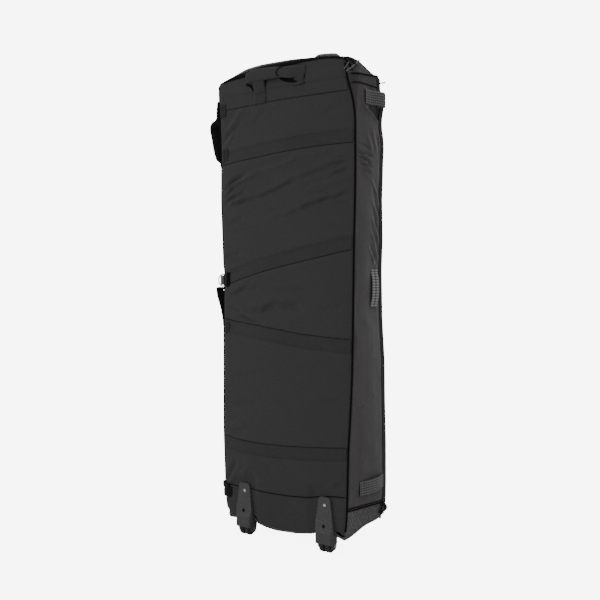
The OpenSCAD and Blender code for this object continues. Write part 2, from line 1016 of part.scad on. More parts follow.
// ---- Handles at the top end ----
z_top_strap = z_crown - 92;
strap_shift = -15;       // the haul handle sits a little left of the middle
leg_w = 48;
leg_x = 74;
leg_h = 68;
bar_h = 36;
grip_lift = 14;
grip_face = back_y - 2 * ply - web_t;

// Strap sewn to the back at both ends, standing off it between them
module top_strap()
{
    out = grip_face - grip_lift;
    slope_h = 14;
    color("#1e1d1e")
        mid()
            translate([strap_shift, 0, z_top_strap - leg_h / 2])
            {
                for (side = [-1, 1])
                    translate([side * leg_x - leg_w / 2, 0, 0])
                    {
                        translate([0, grip_face - strap_t, 0])
                            cube([leg_w, strap_t, leg_h - slope_h]);
                        rotate([90, 0, 90])
                            linear_extrude(leg_w)
                                polygon([[grip_face, leg_h - slope_h],
                                    [grip_face - strap_t, leg_h - slope_h],
                                    [out - strap_t, leg_h], [out, leg_h]]);
                    }
                translate([-leg_x - leg_w / 2, out - strap_t, leg_h])
                    cube([2 * leg_x + leg_w, strap_t, bar_h]);
            }
}

// Padded sleeve folded over the strap's free middle, from the left leg to near the right one
module top_grip()
{
    wrap = 2.4;
    z_lo = z_top_strap + leg_h / 2;
    y_in = grip_face - grip_lift + ply;
    slot_t = strap_t + 2 * ply;
    left = -leg_x - leg_w / 2 - 24;
    right = 6;
    over_leg = leg_w + 26;
    color("#2b2a2b")
        mid()
            translate([strap_shift, 0, 0])
                difference()
                {
                    translate([left, y_in - slot_t - wrap, z_lo - wrap - ply])
                        cube([right - left, slot_t + 2 * wrap, bar_h + 2 * wrap + 2 * ply]);
                    translate([left - cut, y_in - slot_t, z_lo - ply])
                        cube([right - left + 2 * cut, slot_t, bar_h + 2 * ply]);
                    translate([left - cut, y_in - slot_t - wrap - cut, z_lo - wrap - ply - cut])
                        cube([over_leg + cut, slot_t + 2 * wrap + 2 * cut, wrap + ply + 1.5 * cut]);
                }
}

// Grab handle sewn on the top end, right of its middle, raised a little to clear the curve under it
module end_handle()
{
    xa = 88;
    xb = 210;
    wide = 30;
    y = back_y + 36;
    seat = 1.9;
    rise = 12;
    za = ztop(xa, y);
    zb = ztop(xb, y);
    half = (xb - xa) / 2;
    slope = atan((ztop((xa + xb) / 2, y + 10) - ztop((xa + xb) / 2, y - 10)) / 20);
    color("#56565a")
        mid()
            translate([(xa + xb) / 2, y, (za + zb) / 2 + seat])
                rotate([slope, -atan((zb - za) / (xb - xa)), 0])
                    rotate([90, 0, 0])
                        strap_path([[-half, 0], [16 - half, 0], [30 - half, rise], [half - 30, rise],
                            [half - 16, 0], [half, 0]], strap_t, wide);
}

// ---- Zip ----
module side_tape(y_a, y_b)
{
    side_plate(-ply - tape_t, -ply, [[fyi(z0) + y_a, z0], [fyi(z0) + y_b, z0],
        [fyi(z_front) + y_b, z_front], [fyi(z_front) + y_a, z_front]]);
}

module zip_tape_body()
{
    half = hw(z0);
    top_half = hw(z_front);
    color("#141414")
        mid()
        {
            side_tape(-tape_w, 0);
            translate([-half, fyi(z0) - tape_w, z0 - ply - tape_t])
                cube([2 * half, tape_w, tape_t]);
            translate([-top_half, fyi(z_front) - tape_w, z_front + ply])
                cube([2 * top_half, tape_w, tape_t]);
        }
}

module zip_tape_lid()
{
    half = hw(z0);
    top_half = hw(z_front);
    wide = lid_t - 4;
    color("#141414")
        mid()
        {
            side_tape(lid_gap, lid_gap + wide);
            translate([-half, fyi(z0) + lid_gap, z0 - ply - tape_t])
                cube([2 * half, wide, tape_t]);
            translate([-top_half, fyi(z_front) + lid_gap, z_front + ply])
                cube([2 * top_half, wide, tape_t]);
        }
}

// Fabric strip on the left wall that hinges the lid by its outer edge
module hinge_tape()
{
    edge = 0.3;
    color("#2a2829")
        mid()
            left_side()
                side_plate(-ply - tape_t, -ply, [[fyi(z0) - tape_w, z0], [fy(z0) - edge, z0],
                    [fy(z_front) - edge, z_front], [fyi(z_front) - tape_w, z_front]]);
}

// Slider body with two ears that hold the pull's pin, outwards along local x
module slider(skew)
{
    lift = tape_t + ply + 0.6;
    body_t = 2.4;
    ear_t = 1.2;
    ear_in = pull_eye_w / 2 + 0.2;
    rotate([skew, 0, 0])
    {
        translate([lift, -5, -slider_h / 2])
            cube([body_t, 10, slider_h]);
        for (way = [0, 1])
            mirror([0, way, 0])
                translate([lift + body_t, ear_in, -2])
                    cube([slider_reach + 1.8 - lift - body_t, ear_t, 4]);
        translate([slider_reach, ear_in + ear_t, 0])
            rotate([90, 0, 0])
                cylinder(h = 2 * (ear_in + ear_t), r = pull_pin_r);
    }
}

// Pull: an eye on the slider's pin, a short neck and a moulded tip, outwards along local x
module pull(skew)
{
    rotate([skew, 0, 0])
        difference()
        {
            translate([slider_reach, 0, 0])
            {
                rotate([90, 0, 0])
                    cylinder(h = pull_eye_w, r = pull_t / 2 + 0.3, center = true);
                translate([0, -pull_eye_w / 2, -pull_t / 2])
                    cube([pull_len - 12, pull_eye_w, pull_t]);
                translate([pull_len - 14, -3, -pull_t / 2])
                    cube([14, 6, pull_t]);
            }
            translate([slider_reach, pull_eye_w, 0])
                rotate([90, 0, 0])
                    cylinder(h = 2 * pull_eye_w, r = pull_pin_r + run_gap);
        }
}

module slider_side()
{
    color("#1a1a1a")
        mid()
            on_right(z_slider, fyi(z_slider) + lid_gap / 2)
                slider(lean);
}

module pull_side()
{
    color("#101010")
        mid()
            on_right(z_slider, fyi(z_slider) + lid_gap / 2)
                pull(lean);
}

x_slider = hw(z_front) - 24;

module at_top_slider()
{
    mid()
        translate([x_slider, fyi(z_front) + lid_gap / 2, z_front])
            rotate([0, -90, 0])
                children();
}

module slider_top()
{
    color("#1a1a1a")
        at_top_slider()
            slider(0);
}

module pull_top()
{
    color("#101010")
        at_top_slider()
            translate([slider_reach, 0, 0])
                rotate([0, -86, 0])
                    translate([-slider_reach, 0, 0])
                        pull(0);
}

// Folded webbing loop to hold while the zip is drawn
module zip_loop()
{
    half = 17;
    color("#101010")
        mid()
            on_right(z0 + 44, fyi(z0) - tape_w - 16)
                strap_up([[-half, ply], [2 - half, ply], [4 - half, 12], [8 - half, 20], [half - 8, 20],
                    [half - 4, 12], [half - 2, ply], [half, ply]], 2, 20);
}

// ---- Lid ----
module lid_panel()
{
    color("#343334")
        mid()
            difference()
            {
                front_plate(0, lid_t, 0);
                front_plate(fabric_t, lid_t + cut, fabric_t);
            }
}

module lid_pad()
{
    color("#6c6f72")
        mid()
            front_plate(fabric_t + ply, lid_t, fabric_t + ply);
}

back_panel();
right_wall();
left_wall();
top_cap();
wheel_cap();
base_board();
end_board();
back_pad();
right_pad();
left_pad();
top_pad();
end_pad();
lining();
piping();
backing_plates();
bracket_left();
bracket_right();
bracket_rivets();
wheel_axles();
axle_nuts();
axle_spacers();
tyre_1();
tyre_2();
tyre_3();
tyre_4();
hub_1();
hub_2();
hub_3();
hub_4();
bearings_1();
bearings_2();
bearings_3();
bearings_4();
feet();
foot_rivets();
band_top();
band_upper();
band_diagonal();
band_middle();
band_low();
haul_handle_upper();
haul_handle_lower();
ring_tab();
d_ring();
grab_handle_upper();
grab_handle_middle();
grab_handle_lower();
top_strap();
top_grip();
end_handle();
zip_loop();
zip_tape_body();
zip_tape_lid();
slider_side();
pull_side();
slider_top();
pull_top();
hinge_tape();
lid_panel();
lid_pad();
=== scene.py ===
# Wheeled snowboard bag: its soft shell, straps, zip and padding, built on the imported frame.
# Lengths are in millimetres on the bag (u right, v away from the back, w up) until place() turns them
# into metres.
import math
from functools import partial
import bpy
import numpy as np
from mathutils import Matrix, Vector


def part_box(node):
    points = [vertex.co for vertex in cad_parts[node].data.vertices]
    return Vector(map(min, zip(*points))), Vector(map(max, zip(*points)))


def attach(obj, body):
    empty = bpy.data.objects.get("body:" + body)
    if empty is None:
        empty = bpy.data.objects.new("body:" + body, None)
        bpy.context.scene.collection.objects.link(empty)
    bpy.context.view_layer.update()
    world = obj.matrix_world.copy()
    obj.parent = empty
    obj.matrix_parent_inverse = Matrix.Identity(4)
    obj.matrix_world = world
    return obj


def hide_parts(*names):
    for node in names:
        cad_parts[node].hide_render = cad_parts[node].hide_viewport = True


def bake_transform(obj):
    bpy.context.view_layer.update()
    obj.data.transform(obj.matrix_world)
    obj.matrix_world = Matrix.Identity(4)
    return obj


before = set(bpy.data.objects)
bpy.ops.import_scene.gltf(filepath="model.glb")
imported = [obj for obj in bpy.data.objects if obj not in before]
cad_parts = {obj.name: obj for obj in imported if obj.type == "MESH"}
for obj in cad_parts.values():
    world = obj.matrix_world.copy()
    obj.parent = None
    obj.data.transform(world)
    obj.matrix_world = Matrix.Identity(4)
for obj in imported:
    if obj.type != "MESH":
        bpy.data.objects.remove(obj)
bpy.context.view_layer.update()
scene = bpy.context.scene
shown = bpy.data.collections.new("bag soft goods")
scene.collection.children.link(shown)

# Camera, floor and light, in metres and watts where nothing else is said
studio = {
    "cameraAt": (1403.9, -2119.4, 831.1),   # mm
    "azimuth": 33.6,
    "pitch": -0.98,
    "lens": 45.48,
    "sensor": 36,
    "sky": 0.5,
    "white": 7.5,          # how bright the empty backdrop looks
    "floorWhite": 0.91,    # the floor's share of that
    "floorHalf": 40,
    "floorColour": (0.9, 0.9, 0.9),
    "aim": (0, 0, 0.8),
    # each light's place, side length and power
    "lights": {
        "key": ((3.4, -2.2, 3.0), 2.2, 17.0),
        "fill": ((-2.6, -3.2, 1.6), 2.4, 42.0),
        "top": ((0.6, 0.6, 4.2), 2.6, 44.0),
    },
}


def softBox(name, at, size, power):
    light = bpy.data.lights.new(name, "AREA")
    light.shape = "RECTANGLE"
    light.size = size
    light.size_y = size
    light.energy = power
    obj = bpy.data.objects.new(name, light)
    scene.collection.objects.link(obj)
    obj.location = at
    obj.rotation_euler = (Vector(studio["aim"]) - obj.location).to_track_quat("-Z", "Y").to_euler()


def buildCamera():
    camData = bpy.data.cameras.new("camera")
    camData.lens = studio["lens"]
    camData.sensor_width = studio["sensor"]
    cam = bpy.data.objects.new("camera", camData)
    scene.collection.objects.link(cam)
    cam.location = [c / 1000 for c in studio["cameraAt"]]
    cam.rotation_euler = (math.radians(90 + studio["pitch"]), 0, math.radians(studio["azimuth"]))
    scene.camera = cam


def background(tree, strength):
    node = tree.nodes.new("ShaderNodeBackground")
    node.inputs[0].default_value = (1, 1, 1, 1)
    node.inputs[1].default_value = strength
    return node


def buildSky():
    # a dim even sky that the camera sees as plain white
    world = bpy.data.worlds.new("soft studio")
    scene.world = world
    world.use_nodes = True
    tree = world.node_tree
    sky = background(tree, studio["sky"])
    backdrop = background(tree, studio["white"])
    seen = tree.nodes.new("ShaderNodeLightPath")
    pick = tree.nodes.new("ShaderNodeMixShader")
    tree.links.new(seen.outputs["Is Camera Ray"], pick.inputs[0])
    tree.links.new(sky.outputs[0], pick.inputs[1])
    tree.links.new(backdrop.outputs[0], pick.inputs[2])
    tree.links.new(pick.outputs[0], tree.nodes["World Output"].inputs[0])


def buildFloor():
    # a pale floor that glows to the camera only, so that it meets the backdrop
    half = studio["floorHalf"]
    mesh = bpy.data.meshes.new("floor")
    corners = [(-half, -half, 0), (half, -half, 0), (half, half, 0), (-half, half, 0)]
    mesh.from_pydata(corners, [], [(0, 1, 2, 3)])
    floor = bpy.data.objects.new("floor", mesh)
    scene.collection.objects.link(floor)
    mat = bpy.data.materials.new("pale floor")
    mat.use_nodes = True
    tree = mat.node_tree
    shader = tree.nodes["Principled BSDF"]
    shader.inputs["Base Color"].default_value = (*studio["floorColour"], 1)
    shader.inputs["Roughness"].default_value = 0.9
    glow = tree.nodes.new("ShaderNodeEmission")
    seen = tree.nodes.new("ShaderNodeLightPath")
    power = tree.nodes.new("ShaderNodeMath")
    power.operation = "MULTIPLY"
    power.inputs[1].default_value = studio["white"] * studio["floorWhite"]
    both = tree.nodes.new("ShaderNodeAddShader")
    tree.links.new(seen.outputs["Is Camera Ray"], power.inputs[0])
    tree.links.new(power.outputs[0], glow.inputs[1])
    tree.links.new(shader.outputs[0], both.inputs[0])
    tree.links.new(glow.outputs[0], both.inputs[1])
    tree.links.new(both.outputs[0], tree.nodes["Material Output"].inputs[0])
    mesh.materials.append(mat)


buildCamera()
buildSky()
for lightName, setting in studio["lights"].items():
    softBox(lightName, *setting)
buildFloor()
print("stage: studio ready")

# Where the bag is and how big it is
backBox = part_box("back_panel")
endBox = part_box("wheel_cap")
xMid = (backBox[0].x + backBox[1].x) * 500
backY = backBox[0].y * 1000
zEnd = endBox[0].z * 1000

bag = {
    "length": 1495,
    "topWide": 524,
    "bottomWide": 472,
    "topDeep": 160,
    "bottomDeep": 243,
    "crown": 32,
    "frontDrop": 24,
    "lidThick": 14,
    "lidGap": 0.5,
    "backBulge": 13,
    "wallBow": 5,
    "creases": 2.0,
    "rimRound": 8,
    "endRound": 12,
    "topHalf": 262.0,     # reach of the top's arch to each side
    "backHalf": 250.0,    # reach of the back's bulge
    "bracketAt": 157,     # the wheel brackets' middle lines
}
cornerW = bag["length"] - bag["crown"]
frontW = cornerW - bag["frontDrop"]
pi = math.pi


def place(u, v, w):
    u, v, w = np.broadcast_arrays(u, v, w)
    return np.stack([xMid + u, backY + v, zEnd + w], axis=-1) / 1000.0


def smooth(x):
    x = np.clip(x, 0.0, 1.0)
    return x * x * (3 - 2 * x)


def through(points, x, soften=14):
    xs = [p[0] for p in points]
    ys = [p[1] for p in points]
    x = np.asarray(x, float)
    return sum(np.interp(x + d * soften, xs, ys) for d in (-1, -0.5, 0, 0.5, 1)) / 5


def cadHalf(w):
    wider = (bag["topWide"] - bag["bottomWide"]) * np.asarray(w, float) / bag["length"]
    return (bag["bottomWide"] + wider) / 2


def depthAt(w):
    return bag["bottomDeep"] + (bag["topDeep"] - bag["bottomDeep"]) * np.asarray(w, float) / frontW


def bodyDepth(w):
    return depthAt(w) - bag["lidThick"] - bag["lidGap"]


# How far each long back edge stands from the middle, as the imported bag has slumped, and the right front edge
rightEdge = [(0, 228), (21, 232), (53, 235), (116, 237.5), (270, 241), (332, 245.5), (424, 250.5),
             (485, 253.5), (608, 256), (881, 259.5), (1032, 263), (1153, 264.5), (1297, 263), (1463, 262)]
leftEdge = [(-10, 231), (0, 235), (15, 240), (42, 243), (111, 247), (281, 254), (588, 253.5), (745, 254),
            (764, 249), (822, 249), (840, 254), (1064, 263.5), (1183, 262.5), (1337, 269), (1456, 279)]
frontPull = [(0, -4), (35, 3), (61, 8), (129, 10), (263, 11), (397, 9), (529, 9), (595, 5.5), (661, 2.2),
             (824, 1), (921, 6), (1050, 5), (1113, 8), (1177, 10.5), (1208, 13), (1240, 12), (1272, 7),
             (1298, 6), (1322, 11), (1345, 14), (1368, 13.5), (1374, 9), (1385, 3), (1393, 1.5), (1439, 0.5)]


def halfAt(w, side):
    return through(rightEdge if side > 0 else leftEdge, w)


def frontHalf(w, side):
    return cadHalf(w) + (through(frontPull, w) if side > 0 else 2.0)


def cornerRadius(w, side):
    w = np.asarray(w, float)
    top = np.clip((w - 1285) / 178, 0, 1) ** 1.3 * (26 if side > 0 else 8)
    low = np.clip((70 - w) / 70, 0, 1) ** 2 * (4 if side > 0 else 8)
    return (12 if side > 0 else 14) + top + low


def seamTurn(w, side):
    w = np.asarray(w, float)
    top = smooth((w - 1270) / 150) if side > 0 else 0.3 * smooth((w - 1330) / 120)
    return math.radians(46 if side > 0 else 53) * (1 - top)


# how much further the padded top stands up along the back, and how deep its rounded rim is there
crestSwell = [(-262, 0), (-240, 6), (-220, 10), (-155, 20), (-90, 17), (-30, 12), (35, 10), (93, 7),
              (131, 5), (191, 4), (235, 2)]
rimDepth = [(-262, 8), (-220, 20), (-155, 38), (-90, 33), (35, 28), (93, 20), (131, 14), (191, 10), (262, 8)]


def crest(u):
    arch = bag["crown"] * (1 - (np.asarray(u, float) / bag["topHalf"]) ** 2)
    return cornerW + arch + through(crestSwell, u)


def rimAt(u):
    return through(rimDepth, u)


def bracketFree(u, w):
    # 1 away from the wheel brackets, 0 behind them
    near = np.zeros_like(np.asarray(u, float) + np.asarray(w, float))
    for centre in (-bag["bracketAt"], bag["bracketAt"]):
        across = smooth((66 - np.abs(u - centre)) / 30)
        near = np.maximum(near, across * smooth((156 - np.asarray(w, float)) / 36))
    return 1 - near


def gentle(u, w, size, seed):
    # seeded slow unevenness, about -1 to 1
    rng = np.random.default_rng(seed)
    total = 0
    for i in range(7):
        angle = rng.uniform(0, pi)
        span = size * rng.uniform(0.7, 1.5)
        phase = rng.uniform(0, 2 * pi)
        total = total + np.sin((u * np.cos(angle) + w * np.sin(angle)) * 2 * pi / span + phase)
    return total / 4


# Creases, each from (u, w) to (u, w), with its height and width in mm; a minus height is a valley
backFolds = [
    ((-225, 1104, -91, 1142), 3.4, 9), ((-91, 1142, 66, 1179), 2.6, 9), ((66, 1179, 190, 1192), 1.6, 10),
    ((-236, 1112, -150, 1134), -2.6, 7), ((-200, 1040, -100, 1064), -3.0, 6),
    ((-110, 1061, 66, 1107), -3.4, 6), ((60, 1104, 236, 1164), -2.4, 6), ((-245, 1048, -150, 1092), -2.2, 5),
    ((-240, 1030, -200, 1058), 2.4, 6), ((-246, 1072, -190, 1102), -1.8, 5),
    ((-246, 1086, -205, 1100), 1.6, 4), ((70, 1015, 176, 1044), -2.6, 5), ((110, 1022, 200, 1040), 1.8, 5),
    ((170, 1043, 232, 1053), -1.5, 5), ((15, 995, 85, 1006), -1.6, 6), ((168, 1129, 234, 1151), -1.6, 4.5),
    ((172, 1107, 234, 1127), -1.6, 4.5), ((105, 1054, 182, 1075), -1.3, 6),
    ((186, 1160, 238, 1172), -1.4, 4), ((-235, 1296, -150, 1362), 1.6, 9),
    ((-240, 1262, -170, 1322), -1.8, 8), ((-250, 1225, -205, 1290), 1.6, 7),
    ((-120, 1310, -60, 1345), -1.2, 9), ((150, 1300, 235, 1330), -1.0, 10),
    ((-216, 746, -130, 768), -2.6, 6), ((-230, 705, -160, 690), -1.6, 7), ((-176, 672, -98, 658), -2.0, 6),
    ((-134, 688, -5, 709), -2.4, 9), ((-10, 709, 80, 700), -1.2, 9), ((-252, 864, -170, 887), -2.0, 7),
    ((-60, 770, 60, 760), 1.2, 14), ((-212, 377, -85, 386), -1.5, 7), ((-40, 384, 32, 375), 1.2, 8),
    ((105, 404, 230, 415), -1.4, 8), ((-220, 284, -108, 305), -1.8, 7), ((-225, 300, -150, 318), 1.4, 8),
    ((-235, 110, -190, 190), -2.0, 9), ((-228, 96, -196, 140), 1.8, 7), ((-190, 120, -130, 175), 1.0, 10),
    ((190, 130, 232, 180), -1.2, 9), ((-200, 470, -90, 478), -0.9, 12), ((40, 505, 190, 520), -0.9, 12),
    ((-150, 960, 60, 985), 0.9, 16), ((-230, 985, -150, 1000), -1.3, 7), ((150, 700, 230, 712), -0.9, 9),
    ((164, 1145, 255, 1158), -1.4, 5), ((164, 1118, 250, 1131), -1.5, 5), ((98, 1079, 250, 1104), 1.5, 5),
    ((45, 1010, 185, 1045), -2, 5.5), ((185, 1045, 248, 1054), -1.6, 5), ((192, 1020, 250, 1032), -1.4, 5),
    ((-213, 998, -105, 972), -1.4, 8), ((-72, 994, 53, 1013), 1.5, 8), ((-222, 863, -84, 851), -1.4, 7),
    ((-196, 960, -64, 964), -1.2, 7), ((-85, 690, -25, 714), -2.4, 8), ((-25, 714, 75, 710), -1.8, 9),
    ((-196, 745, -89, 771), -2.0, 7), ((-89, 771, 98, 758), -1.5, 7), ((-188, 671, -60, 653), -1.6, 8),
    ((-230, 1086, -179, 1126), 2, 5), ((-234, 1063, -187, 1076), -2, 5), ((-240, 1036, -146, 1057), -2.2, 5),
    ((-230, 914, -171, 892), -1.2, 6), ((-222, 813, -171, 826), -1, 6),
]
wallFolds = [
    ((6, 1182, 100, 1172), -3.0, 3.4), ((10, 1173, 98, 1163), 2.8, 3.4), ((8, 1165, 92, 1155), -3.2, 3.4),
    ((12, 1156, 104, 1149), 2.4, 3.4), ((14, 1148, 108, 1141), -2.6, 3.4), ((20, 1140, 96, 1133), 1.8, 3.6),
    ((10, 1206, 74, 1196), -1.8, 4), ((16, 1128, 92, 1122), -1.8, 4), ((24, 1118, 84, 1112), 1.2, 4),
    ((92, 1110, 166, 1022), 2.4, 6), ((100, 1044, 160, 970), 2.6, 6), ((98, 990, 162, 910), 2.8, 6),
    ((94, 938, 168, 856), 2.7, 6), ((82, 896, 136, 832), 2.2, 6), ((108, 872, 152, 826), 1.8, 5),
    ((96, 1082, 160, 1000), -1.8, 6), ((96, 1018, 160, 944), -1.8, 6), ((94, 966, 158, 888), -1.7, 6),
    ((92, 910, 150, 844), -1.5, 5), ((40, 1330, 104, 1305), 2.0, 6), ((98, 1308, 168, 1284), 2.2, 6),
    ((60, 1240, 92, 1190), 1.8, 9), ((92, 1262, 118, 1200), 2.2, 9), ((120, 1250, 142, 1180), -2.0, 8),
    ((146, 1148, 166, 1112), -2.4, 6), ((60, 1215, 140, 1200), 1.0, 12),
    ((60, 660, 150, 640), 1.2, 14), ((20, 560, 120, 590), -0.9, 16), ((120, 430, 190, 400), 1.0, 15),
    ((20, 400, 70, 392), -1.2, 6), ((24, 384, 80, 380), 0.9, 6), ((90, 210, 180, 225), -0.9, 14),
    ((20, 130, 90, 118), -1.1, 10), ((60, 275, 170, 262), 0.8, 18),
]


def foldHeight(u, w, folds):
    total = np.zeros_like(np.asarray(u, float) + np.asarray(w, float))
    for (u0, w0, u1, w1), high, wide in folds:
        run = math.hypot(u1 - u0, w1 - w0)
        du, dw = (u1 - u0) / run, (w1 - w0) / run
        along = ((u - u0) * du + (w - w0) * dw) / run
        off = -(u - u0) * dw + (w - w0) * du + 3 * np.sin(along * pi * 1.7 + run)
        ends = smooth((along + 0.06) / 0.3) * smooth((1.06 - along) / 0.3)
        ridge = np.exp(-(off / wide) ** 2) - 0.45 * np.exp(-((off - 1.9 * wide) / (1.6 * wide)) ** 2)
        total += high * ends * ridge
    return total


# Webbing across the back: middle line as (u, w), and half its width
bands = {
    "band_top": ([(-262, 1386), (0, 1390), (262, 1388)], 21),
    "band_upper": ([(-258, 1198), (-204, 1206), (-31, 1219), (66, 1225), (115, 1228), (227, 1229),
                    (262, 1227)], 20.5),
    "band_diagonal": ([(-250, 796), (-209, 806), (-133, 827), (-51, 847), (28, 863), (104, 877), (177, 891),
                       (227, 901), (258, 905)], 22),
    "band_middle": ([(-248, 642), (-213, 634), (-112, 623), (-11, 609.5), (66, 598.5), (141, 592.5),
                     (227, 587), (254, 586)], 21.5),
    "band_low": ([(-240, 246), (-227, 242), (-175, 236.5), (-92, 234.2), (-11, 235.7), (66, 240.2),
                  (141, 246.2), (228, 253), (240, 254)], 20.5),
}


def bandPinch(u, w):
    # the webbing is drawn tight, so the padding sinks under it and swells beside it
    total = 0
    for line, half in bands.values():
        off = np.abs(w - through(line, u, 20))
        total = total - 3.0 * smooth((half + 4 - off) / 10) + 1.6 * np.exp(-((off - half - 13) / 9) ** 2)
    return total


def backRelief(u, w):
    across = np.clip(1 - np.abs(u / bag["backHalf"]) ** 2.4, 0, 1)
    up = np.clip(smooth(w / 260) * smooth((crest(u) - w) / 240), 0, 1)
    swell = bag["backBulge"] * across * (0.35 + 0.65 * up)
    soft = 1.9 * gentle(u, w, 260, 3) + 0.8 * gentle(u, w * 1.3, 90, 8) + 0.22 * gentle(u, w * 2, 26, 5)
    pinch = bandPinch(u, w) * (0.5 + 0.5 * across)
    return (swell + soft + pinch + bag["creases"] * foldHeight(u, w, backFolds)) * bracketFree(u, w)


def backBase(s, w):
    # smooth back face from the left seam (s=0) to the right one (s=1), and its outward direction
    hl, hr = halfAt(w, -1), halfAt(w, 1)
    rl, rr = cornerRadius(w, -1), cornerRadius(w, 1)
    al, ar = rl * seamTurn(w, -1), rr * seamTurn(w, 1)
    flat = hl - rl + hr - rr
    run = s * (al + flat + ar)
    onLeft = np.clip(al - run, 0, None) / rl
    onRight = np.clip(run - al - flat, 0, None) / rr
    u = rl - hl + np.clip(run - al, 0, flat) - rl * np.sin(onLeft) + rr * np.sin(onRight)
    v = rl * (1 - np.cos(onLeft)) + rr * (1 - np.cos(onRight))
    return u, v, np.sin(onRight) - np.sin(onLeft), -np.cos(onLeft + onRight)


def backSpot(s, w, lift=0.0):
    u, v, nu, nv = backBase(s, w)
    edge = np.minimum(s, 1 - s) * 500
    high = backRelief(u, w) * smooth((edge + 4) / 26) + lift
    return u + nu * high, v + nv * high, w + 0 * u


def shareFor(reached, target):
    # the share from 0 to 1 at which a growing reach meets its target
    target = np.asarray(target, float)
    lo, hi = np.zeros_like(target), np.ones_like(target)
    for i in range(24):
        mid = (lo + hi) / 2
        below = reached(mid) < target
        lo = np.where(below, mid, lo)
        hi = np.where(below, hi, mid)
    return (lo + hi) / 2


def shareAt(u, w):
    return shareFor(lambda s: backBase(s, w)[0], u)


def sideBow(far, w):
    return bag["wallBow"] * np.sin(pi * far) * smooth((w + 20) / 160) * smooth((1470 - w) / 160)


def wallBase(t, w, side):
    # smooth side wall from its back seam (t=0) to the zip (t=1)
    h, r, p = halfAt(w, side), cornerRadius(w, side), seamTurn(w, side)
    front, deep = frontHalf(w, side), bodyDepth(w)
    arc, run = r * (pi / 2 - p), deep - r
    way = t * (arc + run)
    turn = p + np.clip(way, 0, arc) / r
    far = np.clip(way - arc, 0, run) / run
    u = h - r + r * np.sin(turn) + (front - h) * smooth(far) + sideBow(far, w)
    v = r - r * np.cos(turn) + run * far
    return side * u, v, side * np.sin(turn), -np.cos(turn)


def wallRelief(v, w, side):
    soft = 1.3 * gentle(v + 40 * side, w, 210, 21 + side) + 0.6 * gentle(v, w * 1.2, 80, 31 + side)
    folds = foldHeight(v, w, wallFolds) if side > 0 else 0.6 * foldHeight(v, w + 40, wallFolds)
    if side > 0:   # the cloth is sucked in below the upper grab handle
        above = ((w - 1284) + (v - 172) * 0.325) / 1.05
        folds = folds - 9 * smooth(above / 9) * smooth((1400 - w) / 40) * smooth((v - 52) / 40)
    return soft + folds + 0.15 * gentle(v, w * 2, 24, 6)


def wallSpot(t, w, side, lift=0.0):
    u, v, nu, nv = wallBase(t, w, side)
    deep = bodyDepth(w)
    edge = np.minimum(v + 2, deep - v)
    high = wallRelief(v, w, side) * smooth(edge / 24) + lift
    return u + nu * high, v + nv * high, w + 0 * u


def wallShare(v, w, side):
    return shareFor(lambda t: wallBase(t, w, side)[1], v)


def smoothPath(points, step=2.0):
    # an even, rounded run through the given points; two numbers a point lie in a plane
    p = np.asarray([(*q, 0) if len(q) == 2 else q for q in points], float)
    fine = []
    padded = np.vstack([2 * p[0] - p[1], p, 2 * p[-1] - p[-2]])
    for i in range(1, len(padded) - 2):
        a, b, c, d = padded[i - 1:i + 3]
        count = max(2, int(np.linalg.norm(c - b) / step))
        for t in np.arange(count) / count:
            fine.append(0.5 * (2 * b + (c - a) * t + (2 * a - 5 * b + 4 * c - d) * t ** 2
                               + (3 * b - a - 3 * c + d) * t ** 3))
    fine.append(p[-1])
    return np.array(fine)


def runLength(path):
    return np.concatenate([[0], np.cumsum(np.linalg.norm(np.diff(path, axis=0), axis=1))])


def unit(rows):
    return rows / np.linalg.norm(rows, axis=1, keepdims=True)


def sweptFrame(path, acrossDir):
    # the path, its directions across and outward, and the length run so far
    path = np.asarray(path, float)
    tangent = unit(np.gradient(path, axis=0))
    across = np.broadcast_to(np.asarray(acrossDir, float), path.shape)
    across = unit(across - tangent * np.sum(across * tangent, axis=1, keepdims=True))
    return path, across, np.cross(across, tangent), runLength(path)


def finish(obj, body, nodes=()):
    shown.objects.link(obj)
    if body:
        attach(obj, body)
    if nodes:
        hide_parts(*nodes)
    return obj


def meshFrom(name, points, faces, uvs, kind, soft=True):
    # points in metres
    mesh = bpy.data.meshes.new(name)
    mesh.from_pydata([tuple(p) for p in np.asarray(points).reshape(-1, 3).tolist()], [], faces)
    layer = mesh.uv_layers.new(name="UVMap")
    index = np.zeros(len(mesh.loops), dtype=np.int32)
    mesh.loops.foreach_get("vertex_index", index)
    layer.data.foreach_set("uv", np.asarray(uvs, float).reshape(-1, 2)[index].ravel())
    mesh.polygons.foreach_set("use_smooth", [soft] * len(mesh.polygons))
    mesh.materials.append(finishes[kind])
    mesh.validate()
    mesh.update()
    return bpy.data.objects.new(name, mesh)


def bagMesh(name, points, faces, uvs, kind, soft=True):
    # points as a list of (u, v, w)
    return meshFrom(name, place(*np.array(points, float).T), faces, uvs, kind, soft)


def gridFaces(rows, cols, flip=False, start=0):
    faces = []
    for i in range(rows - 1):
        for j in range(cols - 1):
            a = start + i * cols + j
            quad = (a, a + 1, a + cols + 1, a + cols)
            faces.append(quad[::-1] if flip else quad)
    return faces


def ringFaces(rings, sides):
    # quads from each ring of points to the next
    faces = []
    for i in range(rings - 1):
        for k in range(sides):
            a, b = i * sides + k, i * sides + (k + 1) % sides
            faces.append((a, b, b + sides, a + sides))
    return faces


def endFaces(rings, sides):
    return [tuple(range(sides))[::-1], tuple(range((rings - 1) * sides, rings * sides))]


def gridLengths(grid):
    return np.linalg.norm(np.diff(grid, axis=1), axis=2), np.linalg.norm(np.diff(grid, axis=0), axis=2)


